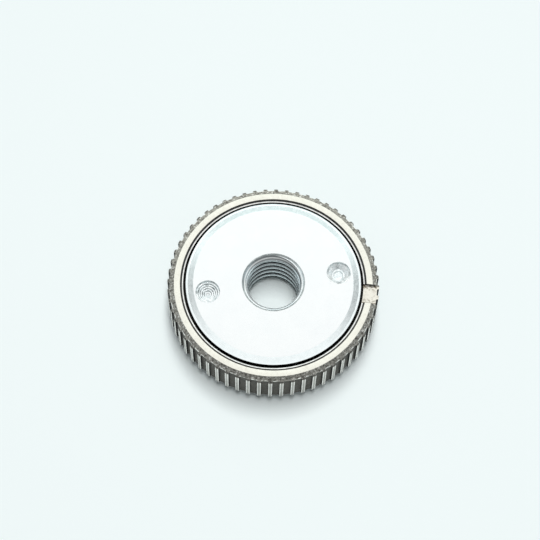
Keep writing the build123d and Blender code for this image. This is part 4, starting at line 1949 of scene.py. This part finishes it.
@dataclass
class Studio:
    """Pale floor, soft light from above and behind, and the camera at the photograph's angle."""

    azimuth_deg: float = -10.75
    elevation_deg: float = 66.044
    roll_deg: float = 1.773
    distance: float = 359.5
    slide: Point = (-0.853, 2.877)
    lens: float = 105.87
    sensor: float = 36.0
    clip: Point = (0.01, 20.0)
    aim_height: float = field(default_factory=lambda: Extent.of("knurled_ring").high)
    floor_radius: float = 1500.0
    floor_steps: int = 96
    floor_fade: Point = (90.0, 420.0)
    floor_colour: Colour = (0.87, 0.945, 0.94)
    backdrop: Colour = (0.885, 0.96, 0.95)
    wall_behind: Colour = (0.82, 0.915, 0.905)
    low_wall: Colour = (1.75, 1.72, 1.62)
    dim_front: Colour = (0.36, 0.37, 0.37)
    side_windows: Colour = (1.35, 1.5, 1.55)
    ambient: Colour = (0.2, 0.202, 0.206)
    # Where each part of the room begins and is full, on the direction's own parts
    behind_from: Point = (0.3, 0.8)
    walls_from: Point = (0.12, 0.34)
    high_wall_from: Point = (0.34, 0.6)
    windows_from: Point = (0.8, 0.92)
    softboxes: tuple[Softbox, ...] = (
        Softbox(
            "overhead_softbox", (-0.006, 0.25, 1.0), 900.0, (874.0, 965.0), 0.69, LampUse.METAL
        ),
        Softbox("floor_softbox", (0.03, 0.06, 1.0), 900.0, (190.0, 640.0), 18.6, LampUse.FLOOR),
    )

    def axes(self) -> tuple[Vector, Vector, Vector]:
        """The camera's directions before its roll.

        Returns:
            Right, up and back.
        """
        turn = math.radians(self.azimuth_deg)
        lift = math.radians(self.elevation_deg)
        level = math.cos(lift)
        back = Vector((math.sin(turn) * level, -math.cos(turn) * level, math.sin(lift)))
        right = Vector((math.cos(turn), math.sin(turn), 0))
        return right, back.cross(right), back

    def camera(self) -> None:
        """Sets the camera at the photograph's angle."""
        right, up, back = self.axes()
        place = self.distance * back + self.slide[0] * right + self.slide[1] * up
        place.z += self.aim_height
        roll = math.radians(self.roll_deg)
        rolled_right = right * math.cos(roll) + up * math.sin(roll)
        rolled_up = up * math.cos(roll) - right * math.sin(roll)
        data = bpy.data.cameras.new("camera")
        data.sensor_width = self.sensor
        data.lens = self.lens
        data.clip_start, data.clip_end = self.clip
        camera = bpy.data.objects.new("camera", data)
        turn = Matrix((rolled_right, rolled_up, back)).transposed().to_4x4()
        camera.matrix_world = Matrix.Translation(place * MM) @ turn
        bpy.context.scene.collection.objects.link(camera)
        bpy.context.scene.camera = camera

    def floor(self) -> None:
        """Lays the pale floor that the nut stands on."""
        blank = Blank()
        bmesh.ops.create_circle(
            blank.mesh, cap_ends=True, segments=self.floor_steps, radius=self.floor_radius
        )
        desk = ShaderDesk("pale_floor")
        matte = desk.tree.nodes.new("ShaderNodeBsdfDiffuse")
        matte.inputs["Color"].default_value = (*self.floor_colour, 1.0)
        distant = desk.tree.nodes.new("ShaderNodeEmission")
        distant.inputs["Color"].default_value = (*self.backdrop, 1.0)
        joined = desk.tree.nodes.new("ShaderNodeMixShader")
        near, far = self.floor_fade
        desk.feed(joined.inputs[0], desk.step(desk.radius(desk.place), near * MM, far * MM))
        desk.feed(joined.inputs[1], matte.outputs[0])
        desk.feed(joined.inputs[2], distant.outputs[0])
        desk.feed(desk.tree.nodes["Material Output"].inputs["Surface"], joined.outputs[0])
        desk.tree.nodes.remove(desk.shader)
        floor = blank.piece("floor", [desk.material])

    def hang(self, softbox: Softbox) -> None:
        """Hangs one lamp.

        Args:
            softbox: What is hung.
        """
        right, _, _ = self.axes()
        across, away, up = softbox.direction
        place = (across * right + away * UP.cross(right) + up * UP).normalized()
        data = bpy.data.lights.new(softbox.name, "AREA")
        data.shape = "RECTANGLE"
        data.size, data.size_y = (side * MM for side in softbox.size)
        data.energy = softbox.strength * math.pi * data.size * data.size_y
        lamp = bpy.data.objects.new(softbox.name, data)
        along = place.cross(right).normalized()
        turn = Matrix((along.cross(place), along, place)).transposed().to_4x4()
        lamp.matrix_world = Matrix.Translation(place * softbox.distance * MM) @ turn
        lamp.visible_diffuse = softbox.use is LampUse.FLOOR
        lamp.visible_glossy = softbox.use is LampUse.METAL
        bpy.context.scene.collection.objects.link(lamp)

    def world(self) -> None:
        """Makes a room with a bright wall behind the nut, a dim front and a pale horizon."""
        world = bpy.data.worlds.new("studio")
        bpy.context.scene.world = world
        world.use_nodes = True
        desk = NodeDesk(world.node_tree)
        desk.tree.nodes.clear()
        place = desk.tree.nodes.new("ShaderNodeTexCoord").outputs["Generated"]
        right, _, _ = self.axes()
        behind = desk.step(desk.dot(place, UP.cross(right)), *self.behind_from)
        height = desk.dot(place, UP)
        above = desk.step(height, *self.walls_from)
        high = desk.step(height, *self.high_wall_from)
        sideways = desk.math("ABSOLUTE", desk.dot(place, right))
        walls = desk.blend(
            behind, self.dim_front, desk.blend(high, self.low_wall, self.wall_behind)
        )
        walls = desk.blend(desk.step(sideways, *self.windows_from), walls, self.side_windows)
        room = desk.blend(above, self.backdrop, walls)
        paths = desk.tree.nodes.new("ShaderNodeLightPath")
        seen = desk.blend(paths.outputs["Is Diffuse Ray"], room, self.ambient)
        seen = desk.blend(paths.outputs["Is Camera Ray"], seen, self.backdrop)
        glow = desk.tree.nodes.new("ShaderNodeBackground")
        output = desk.tree.nodes.new("ShaderNodeOutputWorld")
        desk.feed(glow.inputs["Color"], seen)
        desk.feed(output.inputs["Surface"], glow.outputs[0])
        world.cycles.sampling_method = "NONE"

    def build(self) -> None:
        """Sets up the floor, the light, the camera and the plain view settings."""
        self.floor()
        self.world()
        for softbox in self.softboxes:
            self.hang(softbox)
        self.camera()
        bpy.context.scene.view_settings.view_transform = "Standard"
        log.info("studio: floor, %d lamps and camera", len(self.softboxes))


def main() -> None:
    """Builds the nut and the studio round it."""
    logging.basicConfig(level=logging.INFO, format="%(name)s: %(message)s")
    finishes = Finishes()
    Studio().build()
    HubNut(finishes).build()
    KnurledRing(finishes).build()
    PressurePlate(finishes).build()
    Springs(finishes).build()
    HiddenSteel(finishes).build()


if __name__ == "__main__":
    main()
